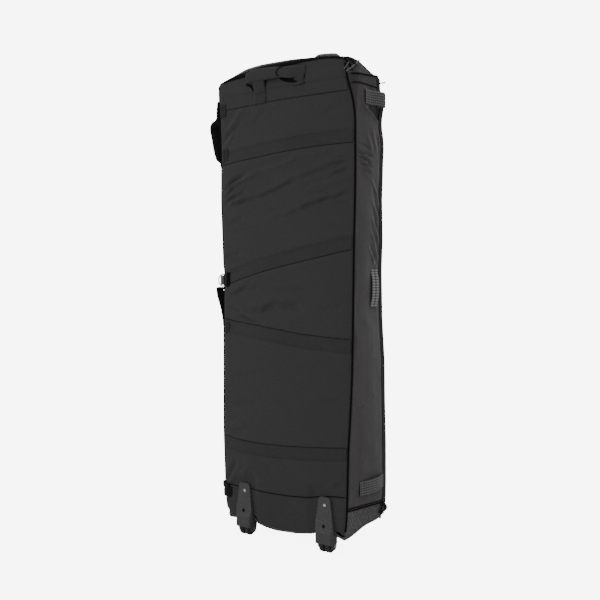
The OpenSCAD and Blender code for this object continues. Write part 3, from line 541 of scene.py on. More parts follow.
def sheetUv(grid):
    # lengths along the sheet's own rows and columns, in metres
    across, up = gridLengths(grid)
    rows, cols = grid.shape[:2]
    uv = np.zeros((rows, cols, 2))
    uv[:, 1:, 0] = np.cumsum(across, axis=1)
    uv[:, :, 0] -= uv[:, cols // 2: cols // 2 + 1, 0]
    uv[1:, :, 1] = np.cumsum(up, axis=0).mean(axis=1, keepdims=True)
    return uv


def clothSheet(name, spots, kind, body, nodes, flip=False, thick=1.4):
    grid = place(*spots)
    rows, cols = grid.shape[:2]
    obj = meshFrom(name, grid, gridFaces(rows, cols, flip), sheetUv(grid), kind)
    finish(obj, body, nodes)
    skin = obj.modifiers.new("fabric", "SOLIDIFY")
    skin.thickness = thick / 1000
    skin.offset = -1
    return obj


def strap(name, path, wide, thick, acrossDir, kind, nodes=(), slot=None, cup=0.0, flutter=0.0):
    # flat webbing swept along a path (u, v, w); acrossDir is the direction of its width
    path, across, normal, length = sweptFrame(path, acrossDir)
    steps = max(6, int(wide / 5))
    front = [(-0.5 + k / steps, 0.5) for k in range(steps + 1)]
    ring = front + [(-a, -b) for a, b in front]
    points, uvs = [], []
    for i in range(len(path)):
        for a, b in ring:
            edge = 1 - 0.55 * max(0, (abs(a) - 0.46) / 0.04)
            wave = flutter * math.sin(length[i] / 17.0) * (2 * a)
            off = b * thick * edge + cup * (1 - (2 * a) ** 2) + wave
            points.append(path[i] + across[i] * a * wide + normal[i] * off)
            uvs.append((a * wide / 1000, length[i] / 1000))
    faces = ringFaces(len(path), len(ring))
    for base, turned in ((0, True), ((len(path) - 1) * len(ring), False)):
        for k in range(steps):
            quad = (base + k, base + k + 1, base + 2 * steps - k, base + 2 * steps + 1 - k)
            faces.append(quad[::-1] if turned else quad)
    finish(bagMesh(name, points, faces, uvs, kind), "bag", nodes)


def tube(name, path, radius, kind, nodes=()):
    path = np.asarray(path, float)
    sides = 10
    tangent = unit(np.gradient(path, axis=0))
    length = runLength(path)
    side = np.cross(tangent[0], (0.31, 0.83, 0.46))
    points, uvs = [], []
    for i, p in enumerate(path):
        side = side - tangent[i] * np.dot(side, tangent[i])
        side /= np.linalg.norm(side)
        other = np.cross(tangent[i], side)
        close = 0.5 if i in (0, len(path) - 1) else 1.0
        for k in range(sides):
            turn = 2 * pi * k / sides
            points.append(p + close * radius * (math.cos(turn) * side + math.sin(turn) * other))
            uvs.append((k / sides * 2 * pi * radius / 1000, length[i] / 1000))
    faces = ringFaces(len(path), sides) + endFaces(len(path), sides)
    finish(bagMesh(name, points, faces, uvs, kind), "bag", nodes)


def roll(name, path, wide, thick, widths, slot, nodes=(), power=2.5, puff=0.05):
    # padded sleeve: a rounded section swept along a path, drawn in at its ends
    path, across, normal, length = sweptFrame(path, (0, 0, 1))
    sides = 28
    points, uvs = [], []
    for i in range(len(path)):
        end = min(length[i], length[-1] - length[i])
        full = 1 - 0.35 * math.exp(-end / 2.5)
        swell = 1 + puff * math.sin(length[i] / 6.5) * 0.5 + puff * math.sin(length[i] / 15.0 + 1)
        for k in range(sides):
            turn = 2 * pi * k / sides
            c, s = math.cos(turn), math.sin(turn)
            a = abs(c) ** (2 / power) * (1 if c > 0 else -1) * widths[i] / 2
            b = abs(s) ** (2 / power) * (1 if s > 0 else -1) * thick / 2 * full * swell
            points.append(path[i] + across[i] * a * (0.94 + 0.06 * full) + normal[i] * b)
            uvs.append((k / sides * 2 * (wide + thick) / 1000, length[i] / 1000))
    faces = ringFaces(len(path), sides) + endFaces(len(path), sides)
    obj = finish(bagMesh(name, points, faces, uvs, "backCloth"), "bag", nodes)


def stitchRow(name, runs, body="bag", pitch=4.2, long=2.9, wide=0.75):
    # lines of thread lying on the cloth; each run is (path, outward direction)
    points, faces = [], []
    for path, out in runs:
        path = np.asarray(path, float)
        length = runLength(path)
        n = np.array(out, float)
        n /= np.linalg.norm(n) + 1e-9
        for at in np.arange(pitch, length[-1] - pitch, pitch):
            ends = [np.array([np.interp(at + d, length, path[:, k]) for k in range(3)]) for d in (0, long)]
            t = ends[1] - ends[0]
            t /= np.linalg.norm(t) + 1e-9
            b = np.cross(t, n) * wide / 2
            mid = (ends[0] + ends[1]) / 2 + n * 0.5
            base = len(points)
            points += [ends[0] - n * 0.3, mid + b - n * 0.25, mid - b - n * 0.25, mid, ends[1] - n * 0.3]
            faces += [(base, base + 1, base + 3), (base, base + 3, base + 2), (base + 4, base + 3, base + 1),
                      (base + 4, base + 2, base + 3)]
    finish(bagMesh(name, points, faces, np.zeros((len(points), 2)), "thread"), body)


def slab(name, outer, inner, node, body="bag", fill=0.5, flip=False):
    # a padded piece between two faces given as (u, v, w) grids, with rounded rims
    rows, cols = outer[0].shape
    i = np.minimum(np.arange(rows), np.arange(rows)[::-1])[:, None]
    j = np.minimum(np.arange(cols), np.arange(cols)[::-1])[None, :]
    thin = 1 - 0.42 * np.exp(-np.minimum(i, j) / 0.9)
    mid = [(a + b) / 2 for a, b in zip(outer, inner)]
    faceA = place(*[m + (a - m) * thin for m, a in zip(mid, outer)])
    faceB = place(*[m + (b - m) * thin for m, b in zip(mid, inner)])
    points = np.concatenate([faceA.reshape(-1, 3), faceB.reshape(-1, 3)])
    uv = sheetUv(faceA).reshape(-1, 2)
    n = rows * cols
    faces = gridFaces(rows, cols, flip) + gridFaces(rows, cols, not flip, n)
    rim = ([(0, k) for k in range(cols)] + [(k, cols - 1) for k in range(1, rows)]
           + [(rows - 1, k) for k in range(cols - 2, -1, -1)] + [(k, 0) for k in range(rows - 2, 0, -1)])
    loop = [a * cols + b for a, b in rim]
    for k, a in enumerate(loop):
        b = loop[(k + 1) % len(loop)]
        quad = (b, a, a + n, b + n)
        faces.append(quad[::-1] if flip else quad)
    obj = meshFrom(name, points, faces, np.concatenate([uv, uv]), "foamCloth")
    finish(obj, body, [node])


def feed(tree, value, socket):
    # a socket takes a link, a number or a colour
    if isinstance(value, bpy.types.NodeSocket):
        tree.links.new(value, socket)
    elif isinstance(value, (int, float)):
        socket.default_value = value
    else:
        socket.default_value = (*value, 1)


def calc(tree, operation, a, b=0.0, c=0.0):
    node = tree.nodes.new("ShaderNodeMath")
    node.operation = operation
    for i, value in enumerate((a, b, c)):
        feed(tree, value, node.inputs[i])
    return node.outputs[0]


def blendColours(tree, factor, dark, light):
    node = tree.nodes.new("ShaderNodeMix")
    node.data_type = "RGBA"
    for i, value in ((0, factor), (6, dark), (7, light)):
        feed(tree, value, node.inputs[i])
    return node.outputs[2]


def noiseAt(tree, where, scale, detail=3.0, stretch=None):
    node = tree.nodes.new("ShaderNodeTexNoise")
    feed(tree, scale, node.inputs["Scale"])
    node.inputs["Detail"].default_value = detail
    if stretch:
        mapping = tree.nodes.new("ShaderNodeMapping")
        mapping.inputs["Scale"].default_value = stretch
        tree.links.new(where, mapping.inputs["Vector"])
        where = mapping.outputs[0]
    tree.links.new(where, node.inputs["Vector"])
    return node.outputs["Fac"]


def splitVector(tree, vector):
    node = tree.nodes.new("ShaderNodeSeparateXYZ")
    tree.links.new(vector, node.inputs[0])
    return node.outputs


def newGroup(name, results, **amounts):
    # a node group with a place to look at, named amounts and named results
    tree = bpy.data.node_groups.new(name, "ShaderNodeTree")
    tree.interface.new_socket(name="Where", in_out="INPUT", socket_type="NodeSocketVector")
    for label, value in amounts.items():
        socket = tree.interface.new_socket(name=label, in_out="INPUT", socket_type="NodeSocketFloat")
        socket.default_value = value
    for label in results:
        tree.interface.new_socket(name=label, in_out="OUTPUT", socket_type="NodeSocketFloat")
    start = tree.nodes.new("NodeGroupInput")
    end = tree.nodes.new("NodeGroupOutput")
    return tree, start.outputs, end.inputs, partial(calc, tree)


def placeGroup(tree, group, where, **values):
    node = tree.nodes.new("ShaderNodeGroup")
    node.node_tree = group
    tree.links.new(where, node.inputs["Where"])
    for key, value in values.items():
        node.inputs[key].default_value = value
    return node.outputs


def buildWeave():
    # plain weave: threads that pass over and under in turn
    tree, given, result, do = newGroup("plainWeave", ("Height", "Shade"), Thread=1.0, Slub=0.3)
    where = splitVector(tree, given["Where"])
    perThread = do("DIVIDE", 1000 * pi, given["Thread"])
    sx = do("SINE", do("MULTIPLY", where[0], perThread))
    sy = do("SINE", do("MULTIPLY", where[1], perThread))
    over = do("MULTIPLY", sx, sy)
    body = do("ADD", do("ABSOLUTE", sx), do("ABSOLUTE", sy))
    height = do("MULTIPLY_ADD", over, 0.25, do("MULTIPLY", body, 0.4))
    slub = do("ADD", noiseAt(tree, given["Where"], 60, 2, (1, 14, 1)),
              noiseAt(tree, given["Where"], 60, 2, (14, 1, 1)))
    slub = do("MULTIPLY", do("SUBTRACT", slub, 1.0), given["Slub"])
    tree.links.new(do("ADD", height, slub), result["Height"])
    tree.links.new(do("ADD", do("MULTIPLY_ADD", over, 0.3, 0.5), slub), result["Shade"])
    return tree


def buildRibs():
    # webbing: ribs along the length, crossed by a fine herringbone
    tree, given, result, do = newGroup("webbingRibs", ("Height", "Shade"), Rib=2.2, Pick=1.4, Cross=0.4)
    where = splitVector(tree, given["Where"])
    across = do("DIVIDE", do("MULTIPLY", where[0], 1000), given["Rib"])
    along = do("DIVIDE", do("MULTIPLY", where[1], 1000), given["Pick"])
    rib = do("ABSOLUTE", do("SINE", do("MULTIPLY", across, pi)))
    zig = do("PINGPONG", across, 1.0)
    pick = do("SINE", do("MULTIPLY", do("ADD", along, zig), 2 * pi))
    height = do("ADD", rib, do("MULTIPLY", pick, given["Cross"]))
    tree.links.new(height, result["Height"])
    tree.links.new(do("MULTIPLY_ADD", height, 0.5, 0.2), result["Shade"])
    return tree


def buildBlocks():
    # chunky grid weave of the grab handles: raised blocks between sunk rows
    tree, given, result, do = newGroup("blockWeave", ("Height", "Shade"), Block=5.0, Rows=5.0)
    where = splitVector(tree, given["Where"])
    sx = do("SINE", do("MULTIPLY", where[0], do("DIVIDE", 1000 * pi, given["Block"])))
    sy = do("SINE", do("MULTIPLY", where[1], do("DIVIDE", 1000 * pi, given["Rows"])))
    block = do("POWER", do("ABSOLUTE", do("MULTIPLY", sx, sy)), 0.8)
    fine = noiseAt(tree, given["Where"], 900, 1)
    tree.links.new(do("MULTIPLY_ADD", fine, 0.25, block), result["Height"])
    tree.links.new(block, result["Shade"])
    return tree


def buildTone():
    # slow unevenness of dye and a little dust that gathers in patches
    tree, given, result, do = newGroup("toneAndDust", ("Tone", "Dust"))
    slow = noiseAt(tree, given["Where"], 5.0, 4)
    quick = noiseAt(tree, given["Where"], 38.0, 3)
    tone = do("ADD", do("MULTIPLY", slow, 0.65), do("MULTIPLY", quick, 0.35))
    specks = do("SUBTRACT", noiseAt(tree, given["Where"], 420.0, 2), 0.62)
    patches = do("SUBTRACT", noiseAt(tree, given["Where"], 9.0, 3), 0.4)
    dust = do("MULTIPLY", do("MAXIMUM", specks, 0.0), do("MAXIMUM", patches, 0.0))
    tree.links.new(tone, result["Tone"])
    tree.links.new(do("MINIMUM", do("MULTIPLY", dust, 14.0), 1.0), result["Dust"])
    return tree


def buildGrain():
    # moulded grain with scuffs
    tree, given, result, do = newGroup("mouldedGrain", ("Height", "Scuff"), Grain=900.0)
    streak = noiseAt(tree, given["Where"], 60, 4, (1, 1, 9))
    scuff = do("MULTIPLY", do("MAXIMUM", do("SUBTRACT", streak, 0.6), 0.0), 5.0)
    tree.links.new(noiseAt(tree, given["Where"], given["Grain"], 3), result["Height"])
    tree.links.new(scuff, result["Scuff"])
    return tree


plainWeave = buildWeave()
webbingRibs = buildRibs()
blockWeave = buildBlocks()
toneAndDust = buildTone()
mouldedGrain = buildGrain()


def startMaterial(name, shine):
    mat = bpy.data.materials.new(name)
    mat.use_nodes = True
    tree = mat.node_tree
    shader = tree.nodes["Principled BSDF"]
    for label, value in shine.items():
        shader.inputs[label].default_value = value
    return mat, tree, shader, tree.nodes.new("ShaderNodeTexCoord").outputs


def finishSurface(tree, shader, colour, roughBy, rough, height, relief, deep):
    tree.links.new(colour, shader.inputs["Base Color"])
    tree.links.new(calc(tree, "MULTIPLY_ADD", roughBy, rough[1] - rough[0], rough[0]),
                   shader.inputs["Roughness"])
    node = tree.nodes.new("ShaderNodeBump")
    node.inputs["Strength"].default_value = relief
    node.inputs["Distance"].default_value = deep
    tree.links.new(height, node.inputs["Height"])
    tree.links.new(node.outputs[0], shader.inputs["Normal"])


def grey(level):
    return level, level, level


def cloth(name, dark, light, group, values, rough=(0.72, 0.9), relief=0.5, deep=0.0004, sheen=0.2, dust=0.25,
          tint=0.5, gloss=0.28):
    mat, tree, shader, where = startMaterial(name, {"Sheen Weight": sheen, "Sheen Roughness": 0.45,
                                                    "Specular IOR Level": gloss})
    weave = placeGroup(tree, group, where["UV"], **values)
    tone = placeGroup(tree, toneAndDust, where["Object"])
    share = calc(tree, "ADD", calc(tree, "MULTIPLY", weave["Shade"], tint),
                 calc(tree, "MULTIPLY", tone["Tone"], 1 - tint))
    colour = blendColours(tree, share, dark, light)
    dusty = blendColours(tree, calc(tree, "MULTIPLY", tone["Dust"], dust), colour, grey(0.22))
    finishSurface(tree, shader, dusty, tone["Tone"], rough, weave["Height"], relief, deep)
    return mat


def woven(name, dark, light, thread, slub, **look):
    return cloth(name, dark, light, plainWeave, {"Thread": thread, "Slub": slub}, **look)


def ribbed(name, dark, light, rib, pick, cross, **look):
    return cloth(name, dark, light, webbingRibs, {"Rib": rib, "Pick": pick, "Cross": cross}, **look)


def blocky(name, dark, light, block, rows, **look):
    return cloth(name, dark, light, blockWeave, {"Block": block, "Rows": rows}, **look)


def moulded(name, dark, light, rough=(0.45, 0.62), grain=900.0, relief=0.25, deep=0.0003, metal=0.0,
            scuffTo=None):
    mat, tree, shader, where = startMaterial(name, {"Metallic": metal, "Specular IOR Level": 0.4})
    made = placeGroup(tree, mouldedGrain, where["Object"], Grain=grain)
    tone = placeGroup(tree, toneAndDust, where["Object"])
    colour = blendColours(tree, tone["Tone"], dark, light)
    worn = blendColours(tree, made["Scuff"], colour, scuffTo or [min(1, c * 1.5 + 0.01) for c in light])
    finishSurface(tree, shader, worn, made["Height"], rough, made["Height"], relief, deep)
    return mat


# Cloths and webbings with their thread sizes in mm; plastics and metals below them
finishes = {
    "backCloth": woven("packcloth", (0.024, 0.0245, 0.0245), (0.043, 0.0435, 0.043), 0.8, 0.5, relief=0.35,
                       deep=0.0003, sheen=0.12, tint=0.3),
    "sideCloth": woven("sidecloth", (0.03, 0.027, 0.028), (0.05, 0.0455, 0.047), 0.9, 0.5, relief=0.4,
                       deep=0.0003, sheen=0.25, tint=0.3),
    "endCloth": woven("coarse ballistic", grey(0.006), (0.2, 0.197, 0.194), 7.5, 2.6, relief=1.0,
                      deep=0.0018, sheen=0.1, tint=0.85),
    "flangeCloth": woven("coarse flange", grey(0.012), (0.1, 0.098, 0.096), 3.4, 1.4, relief=0.9, deep=0.001,
                         sheen=0.15, tint=0.8),
    "piping": woven("piping", grey(0.002), grey(0.005), 0.7, 0.3, rough=(0.6, 0.8), relief=0.3, deep=0.0002,
                    sheen=0.0, dust=0.05, gloss=0.06),
    "liningCloth": woven("lining", (0.14, 0.02, 0.016), (0.28, 0.05, 0.04), 0.6, 0.4, rough=(0.5, 0.7),
                         relief=0.4, deep=0.0002, sheen=0.15, tint=0.3),
    "foamCloth": woven("brushed tricot", (0.1, 0.105, 0.11), (0.17, 0.175, 0.18), 1.6, 0.6, sheen=0.35,
                       tint=0.4),
    "thread": woven("thread", grey(0.02), grey(0.05), 0.5, 0.2, rough=(0.5, 0.65), relief=0.3, deep=0.0002),
    # pale grey binding: its colour paints the highlights on the folded corner's bound edges
    "foldBindingHighlight": ribbed("binding with painted highlight", grey(0.06), grey(0.19), 2.0, 1.6, 0.4, relief=0.6, tint=0.7),
    "paleWebbing": ribbed("pale webbing", grey(0.24), grey(0.58), 4.0, 3.0, 0.5, relief=0.9, deep=0.0008,
                          tint=0.8),
    # the top twill is black, and its colour is made darker still to paint shade on the top, which the top
    # light would otherwise show lit
    "topClothShaded": ribbed("top twill", grey(0.004), grey(0.013), 4.0, 3.0, 0.6, relief=0.7, deep=0.0006,
                       sheen=0.0, tint=0.6, dust=0.1, gloss=0.08),
    "blackWebbing": ribbed("ribbed webbing", (0.022, 0.0208, 0.0213), (0.044, 0.041, 0.042), 2.4, 1.6, 0.35,
                           relief=0.7, deep=0.0005, sheen=0.12),
    "strapWebbing": ribbed("black webbing", grey(0.005), (0.013, 0.0125, 0.013), 2.4, 1.6, 0.35, relief=0.8,
                           deep=0.0005, sheen=0.03, gloss=0.12),
    "haulWebbing": ribbed("haul webbing", grey(0.009), (0.021, 0.0205, 0.021), 2.4, 1.6, 0.35, relief=0.8,
                          deep=0.0005, sheen=0.05, gloss=0.15),
    "patchWebbing": ribbed("patch webbing", (0.015, 0.0148, 0.015), (0.032, 0.031, 0.0315), 2.0, 1.6, 0.5,
                           relief=0.8, deep=0.0005, sheen=0.08, gloss=0.2),
    "tabWebbing": ribbed("tab webbing", grey(0.03), grey(0.13), 4.0, 2.4, 0.3, relief=0.9, deep=0.0008,
                         tint=0.8),
    "hingeCloth": ribbed("hinge tape", (0.01, 0.0098, 0.01), (0.024, 0.023, 0.0235), 1.8, 1.3, 0.5,
                         relief=0.6, sheen=0.1, gloss=0.15),
    "zipTape": ribbed("zip tape", grey(0.006), grey(0.014), 1.5, 1.0, 0.5, relief=0.6, deep=0.0003,
                      sheen=0.1),
    "greyWebbing": blocky("block webbing", grey(0.006), (0.165, 0.165, 0.167), 7.6, 7.2, relief=1.0,
                          deep=0.0014, sheen=0.1, tint=0.95),
    "ladderWebbing": blocky("ladder webbing", grey(0.012), grey(0.3), 24.0, 8.7, relief=1.0, deep=0.0016,
                            sheen=0.1, tint=0.95),
    "board": moulded("board plastic", (0.012, 0.012, 0.013), (0.022, 0.022, 0.024)),
    "bracket": moulded("bracket plastic", (0.042, 0.042, 0.043), (0.066, 0.066, 0.067), rough=(0.55, 0.75),
                       relief=0.4, scuffTo=grey(0.14)),
    "foot": moulded("foot plastic", grey(0.012), grey(0.03)),
    "tyre": moulded("tyre rubber", (0.012, 0.012, 0.013), (0.03, 0.03, 0.032), rough=(0.5, 0.75),
                    grain=500.0, scuffTo=grey(0.1)),
    "hub": moulded("hub plastic", (0.1, 0.103, 0.107), (0.19, 0.195, 0.2), rough=(0.35, 0.5)),
    "steel": moulded("steel", (0.5, 0.5, 0.51), (0.66, 0.66, 0.67), rough=(0.22, 0.4), grain=300.0,
                     metal=1.0, relief=0.1, scuffTo=grey(0.4)),
    "chrome": moulded("ring metal", (0.42, 0.43, 0.44), (0.6, 0.61, 0.62), rough=(0.1, 0.25), grain=200.0,
                      metal=1.0, relief=0.08, scuffTo=grey(0.55)),
    "zipMetal": moulded("zip metal", grey(0.01), grey(0.03), rough=(0.25, 0.4), metal=0.6),
    "pull": moulded("pull plastic", grey(0.006), grey(0.014), rough=(0.35, 0.5)),
    "coil": moulded("zip coil", grey(0.006), grey(0.016), rough=(0.3, 0.45), relief=0.1),
}
# below this height the rivets are painted black, standing for the shade in their deep recesses
blackenedBelow = 0.118   # height in metres under which the rivets are black


def blackenRivets():
    # a copy of the steel finish, painted black on the lower rivets as the shade in their deep recesses
    mat = finishes["steel"].copy()
    mat.name = "rivet steel"
    tree = mat.node_tree
    shader = tree.nodes["Principled BSDF"]
    coords = next(n for n in tree.nodes if n.type == "TEX_COORD")
    high = calc(tree, "GREATER_THAN", splitVector(tree, coords.outputs["Object"])[2], blackenedBelow)
    bright = shader.inputs["Base Color"].links[0].from_socket
    tree.links.new(blendColours(tree, high, grey(0.01), bright), shader.inputs["Base Color"])
    tree.links.new(high, shader.inputs["Metallic"])
    return mat


finishes["rivets"] = blackenRivets()
print("stage: finishes ready")


# Height of the seam across the back above the wheel end, and of those round the side walls
endSeamLine = [(-240, 97), (-206, 96), (-125, 93.4), (-51, 92.2), (28, 94.6), (104, 102), (189, 117),
               (240, 119)]


def endSeam(u):
    return through(endSeamLine, u)


def sideSeam(v):
    return 75 - 19 * np.clip(np.asarray(v, float) / 228, 0, 1)


def topSeam(v):
    return 1416 + 21 * np.clip(np.asarray(v, float) / 145, 0, 1)


# how low the underside hangs along its back edge; the wheel brackets hold it up at two places
underEdge = [(-250, -8), (-232, -16), (-203, -15), (-194, -4), (-188, 0), (-126, 0), (-118, -14),
             (-109, -20), (-77, -27), (-40, -30), (39, -26), (100, -16), (117, -10), (124, 0), (190, 0),
             (198, -9), (220, -16), (240, -13)]


def sagAt(u, v):
    middle = smooth((135 - np.abs(u)) / 20)
    reach = 150 * middle + 120 * (1 - middle)
    return -through(underEdge, u, 4) * smooth((reach + 25 - v) / reach)


def roundOff(d, radius):
    d = np.clip(d, 0, radius)
    return radius - np.sqrt(np.maximum(radius ** 2 - (radius - d) ** 2, 0))


def planEdge(v, w, side):
    # how far from the middle the shell reaches at depth v
    h, r = halfAt(w, side), cornerRadius(w, side)
    near = np.clip(v, 0, r)
    far = np.clip((v - r) / (bodyDepth(w) - r), 0, 1)
    corner = h - r + np.sqrt(np.maximum(r ** 2 - (r - near) ** 2, 0))
    return corner + (frontHalf(w, side) - h) * smooth(far) + sideBow(far, w)


def planGrid(v, w, shares, inset=0.0):
    # a level sheet: u across at every depth v, and how far each point is from the left and right edge
    v, a = v[:, None], shares[None, :]
    right, left = planEdge(v, w, 1) - inset, planEdge(v, w, -1) - inset
    u = np.where(a > 0, a * right, a * left)
    return u, v, np.minimum(right - u, left + u)


def crestAt(u, v):
    share = np.clip(v / (bodyDepth(frontW) - 20), 0, 1)
    return crest(u) + (frontW - crest(u)) * share


def backAt(u, w, lift=0.0):
    # points on the back's surface at u, w
    u, w = np.broadcast_arrays(np.asarray(u, float), np.asarray(w, float))
    return np.stack(backSpot(shareAt(u, w), w, lift), axis=-1)


def wallAt(v, w, side, lift=0.0):
    v, w = np.broadcast_arrays(np.asarray(v, float), np.asarray(w, float))
    return np.stack(wallSpot(wallShare(v, w, side), w, side, lift), axis=-1)


def edgeSpread(count):
    # shares from -1 to 1 that crowd towards both ends
    return 2 * (0.5 - 0.5 * np.cos(pi * np.linspace(0, 1, count))) - 1


def between(low, high, count):
    # rows from one height to another
    return low + (high - low) * np.linspace(0, 1, count)[:, None]


columnsAt = 1440.0   # height at which the columns of the tall sheets are spaced


def buildBack():
    s = np.linspace(0, 1, 131)[None, :]
    uCol = backBase(s, np.full_like(s, columnsAt))[0]
    seam = endSeam(uCol * 0.9)
    clothSheet("backPanel", backSpot(s, between(seam, crest(uCol) - rimAt(uCol), 371)), "backCloth", "bag",
               ["back_panel"])
    foot = bag["endRound"] - sagAt(uCol * 0.9, 0) * 0.96
    clothSheet("wheelEndBack", backSpot(s, between(foot, seam + 3, 30), 0.8), "backCloth", "bag",
               ["wheel_cap"])


def buildWheelEnd():
    v = np.concatenate([[0, 0.5, 1.6, 3.5, 6, 9, 12], np.linspace(18, float(bodyDepth(0)), 34)])
    u, v, edge = planGrid(v, 12.0, edgeSpread(71))
    edge = np.minimum(edge, v)
    w = roundOff(edge, bag["endRound"]) - sagAt(u, v) * (1 - 0.08 * roundOff(edge, 12) / 12)
    w = w + 0.9 * gentle(u, v, 120, 14) * smooth(edge / 30) + 5 * smooth((v - 205) / 24)
    clothSheet("wheelEnd", (u, v, w), "endCloth", "bag", ["wheel_cap"], flip=True)


# The walls: the share of its depth at which the right one's cloth stops, short of the slider's path, how deep
# they are low down, and how far the top's facing reaches down them at the back and how much more in front
walls = {"rightEnd": 0.962, "deep": 228, "facing": 27, "facingMore": 10}


def buildSide(side, name):
    # one side wall with the flange of the wheel end below it, and the top's flange and facing above
    share = np.linspace(0, walls["rightEnd"] if side > 0 else 1, 61)[None, :]
    about = share * walls["deep"]
    wall, flipped = [name.lower() + "_wall"], side < 0

    def sheet(piece, w, kind, lift, nodes):
        clothSheet(piece, wallSpot(share, w, side, lift), kind, "bag", nodes, flip=flipped)

    foot = bag["endRound"] - 0.96 * sagAt(side * 225 + 0 * about, about)
    sheet("wheelEndFlange" + name, between(foot, sideSeam(about) + 3, 22), "endCloth", 0.8, ["wheel_cap"])
    seam = topSeam(share * 150)
    sheet(name.lower() + "Wall", between(sideSeam(about), seam, 341), "sideCloth", 0.0, wall)
    deep = wallBase(share, np.full_like(share, columnsAt), side)[1]
    high = crestAt(planEdge(deep, 1450.0, side), deep) - bag["rimRound"] * smooth((140 - deep) / 30)
    sheet("topFlange" + name, between(seam - 3, high, 16), "flangeCloth", 0.8, ["top_cap"])
    low = seam - walls["facing"] - walls["facingMore"] * share
    sheet("topFacing" + name, between(low, seam + 2, 16), "backCloth", 1.0, wall)


def buildTop():
    close = [0, 0.4, 1.2, 2.6, 4.6, 7, 10, 14, 19, 25, 31, 37]
    v = np.concatenate([close, np.linspace(44, float(bodyDepth(frontW)), 22)])
    u, v, across = planGrid(v, 1452.0, edgeSpread(91))
    edge = np.minimum(across, v)
    sideDrop = roundOff(across, bag["rimRound"])
    w = crestAt(u, v) - np.maximum(sideDrop * smooth((141 - v) / 25), roundOff(v, rimAt(u)))
    uneven = 1.0 * gentle(u, v, 110, 44) + 0.5 * gentle(u, v, 40, 45)
    w = w + uneven * smooth(edge / 20) * smooth((140 - v) / 20)
    clothSheet("topCap", (u, v, w), "topClothShaded", "bag", ["top_cap"])


sides = ((1, "Right"), (-1, "Left"))
buildBack()
buildWheelEnd()
for side, sideName in sides:
    buildSide(side, sideName)
buildTop()
print("stage: shell sewn")

# Seams: radius of each round cord, and how far its middle stands off the cloth
seams = {
    "piping": (2.9, 0.9),
    "endBinding": (2.2, 1.2),
    "endBindingUpper": (1.6, 0.5),
    "topBinding": (2.4, 1.2),
    "topFacingSeam": (1.5, 1.0),
    "endSeam": (1.2, 0.9),
    "topSeam": (1.6, 0.6),
}


def wallSeam(seam, side, name, v, w):
    radius, lift = seams[seam]
    tube(seam + name, wallAt(v, w, side, lift), radius, "piping")


def pipingPath(side, lift):
    w = np.linspace(13, 1452, 260)
    u, v, nu, nv = backBase(np.full(260, 0.5 + 0.5 * side), w)
    return np.stack([u + nu * lift, v + nv * lift, w], axis=-1)


def buildSeams():
    paths = []
    for side, name in sides:
        radius, lift = seams["piping"]
        tube("piping" + name, pipingPath(side, lift), radius, "piping", ["piping"])
        v = np.linspace(5, 226, 90)
        wallSeam("endBinding", side, name, v, sideSeam(v) + 4)
        wallSeam("endBindingUpper", side, name, v, sideSeam(v) + 11)
        v = np.linspace(3, 146, 70)
        wallSeam("topBinding", side, name, v, topSeam(v) - 1)
        wallSeam("topFacingSeam", side, name, v, topSeam(v) - walls["facing"] - walls["facingMore"] * v / 146)
        v = np.linspace(8, 140, 60)
        paths.append((wallAt(v, topSeam(v) + 4, side, 1.0), (side, 0, 0)))
        v = np.linspace(8, 216, 90)
        paths.append((wallAt(v, sideSeam(v) - 3, side, 1.0), (side, 0, 0)))
    u = np.linspace(-225, 228, 150)
    radius, lift = seams["endSeam"]
    tube("endSeam", backAt(u, endSeam(u) + 3, lift), radius, "piping")
    paths.append((backAt(u, endSeam(u) - 3, 1.0), (0, -1, 0)))
    u = np.linspace(-246, 216, 150)
    top = crest(u) - rimAt(u) - 0.5
    radius, lift = seams["topSeam"]
    tube("topSeam", backAt(u, top, lift), radius, "piping")
    for below in (5, 17):
        paths.append((backAt(u, top - below, 0.4), (0, -1, 0)))
    stitchRow("seamThread", paths)
    print("stage: seams done")


buildSeams()


# The bands' webbing: where it starts and ends as shares of the back, and how far in its edges are sewn
webbing = {"ends": (0.012, 0.988), "thick": 1.5, "thinning": 0.5, "sewnIn": 3.5}


def buildBands():
    # webbing sewn flat across the back, with a black cord along one edge that paints the shade where the
    # padding swells over the webbing
    threads = []
    for node, (line, half) in bands.items():
        along = np.linspace(*webbing["ends"], 150)[:, None]
        sewn = half - webbing["sewnIn"]
        off = np.linspace(-half, half, 11)[None, :]
        u = backBase(along, through(line, (along - 0.5) * 500, 20))[0]
        w = through(line, u, 20) + off
        high = webbing["thick"] - webbing["thinning"] * np.abs(off / half) ** 6
        name = node.replace("band_", "") + "Band"
        kind = "backCloth" if node == "band_top" else "blackWebbing"
        clothSheet(name, backSpot(along, w, high), kind, "bag", [node], flip=True,
                   thick=webbing["thick"])
        # the black cord goes on the edge of each band that lies in shade, and paints that shade
        drawn = -half - 0.5 if node in ("band_top", "band_upper", "band_diagonal") else half + 0.5
        tube(name + "Edge", backAt(u[:, 0], w[:, 5] + drawn, 0.5), 0.9, "strapWebbing")
        for edge in (-sewn, sewn):
            threads.append((backAt(u[2:-2, 0], w[2:-2, 5] + edge, 1.7), (0, -1, 0)))
        for side in (-1, 1):   # boxed ends
            for inset in (6, 22):
                uEnd = side * (halfAt(float(through(line, side * 240, 20)), side) - 12 - inset)
                centre = float(through(line, float(uEnd), 20))
                across = np.linspace(centre - sewn, centre + sewn, 14)
                threads.append((backAt(float(uEnd), across, 1.7), (0, -1, 0)))
    stitchRow("bandThread", threads, pitch=4.6, long=3.1, wide=0.8)
    print("stage: bands done")


buildBands()

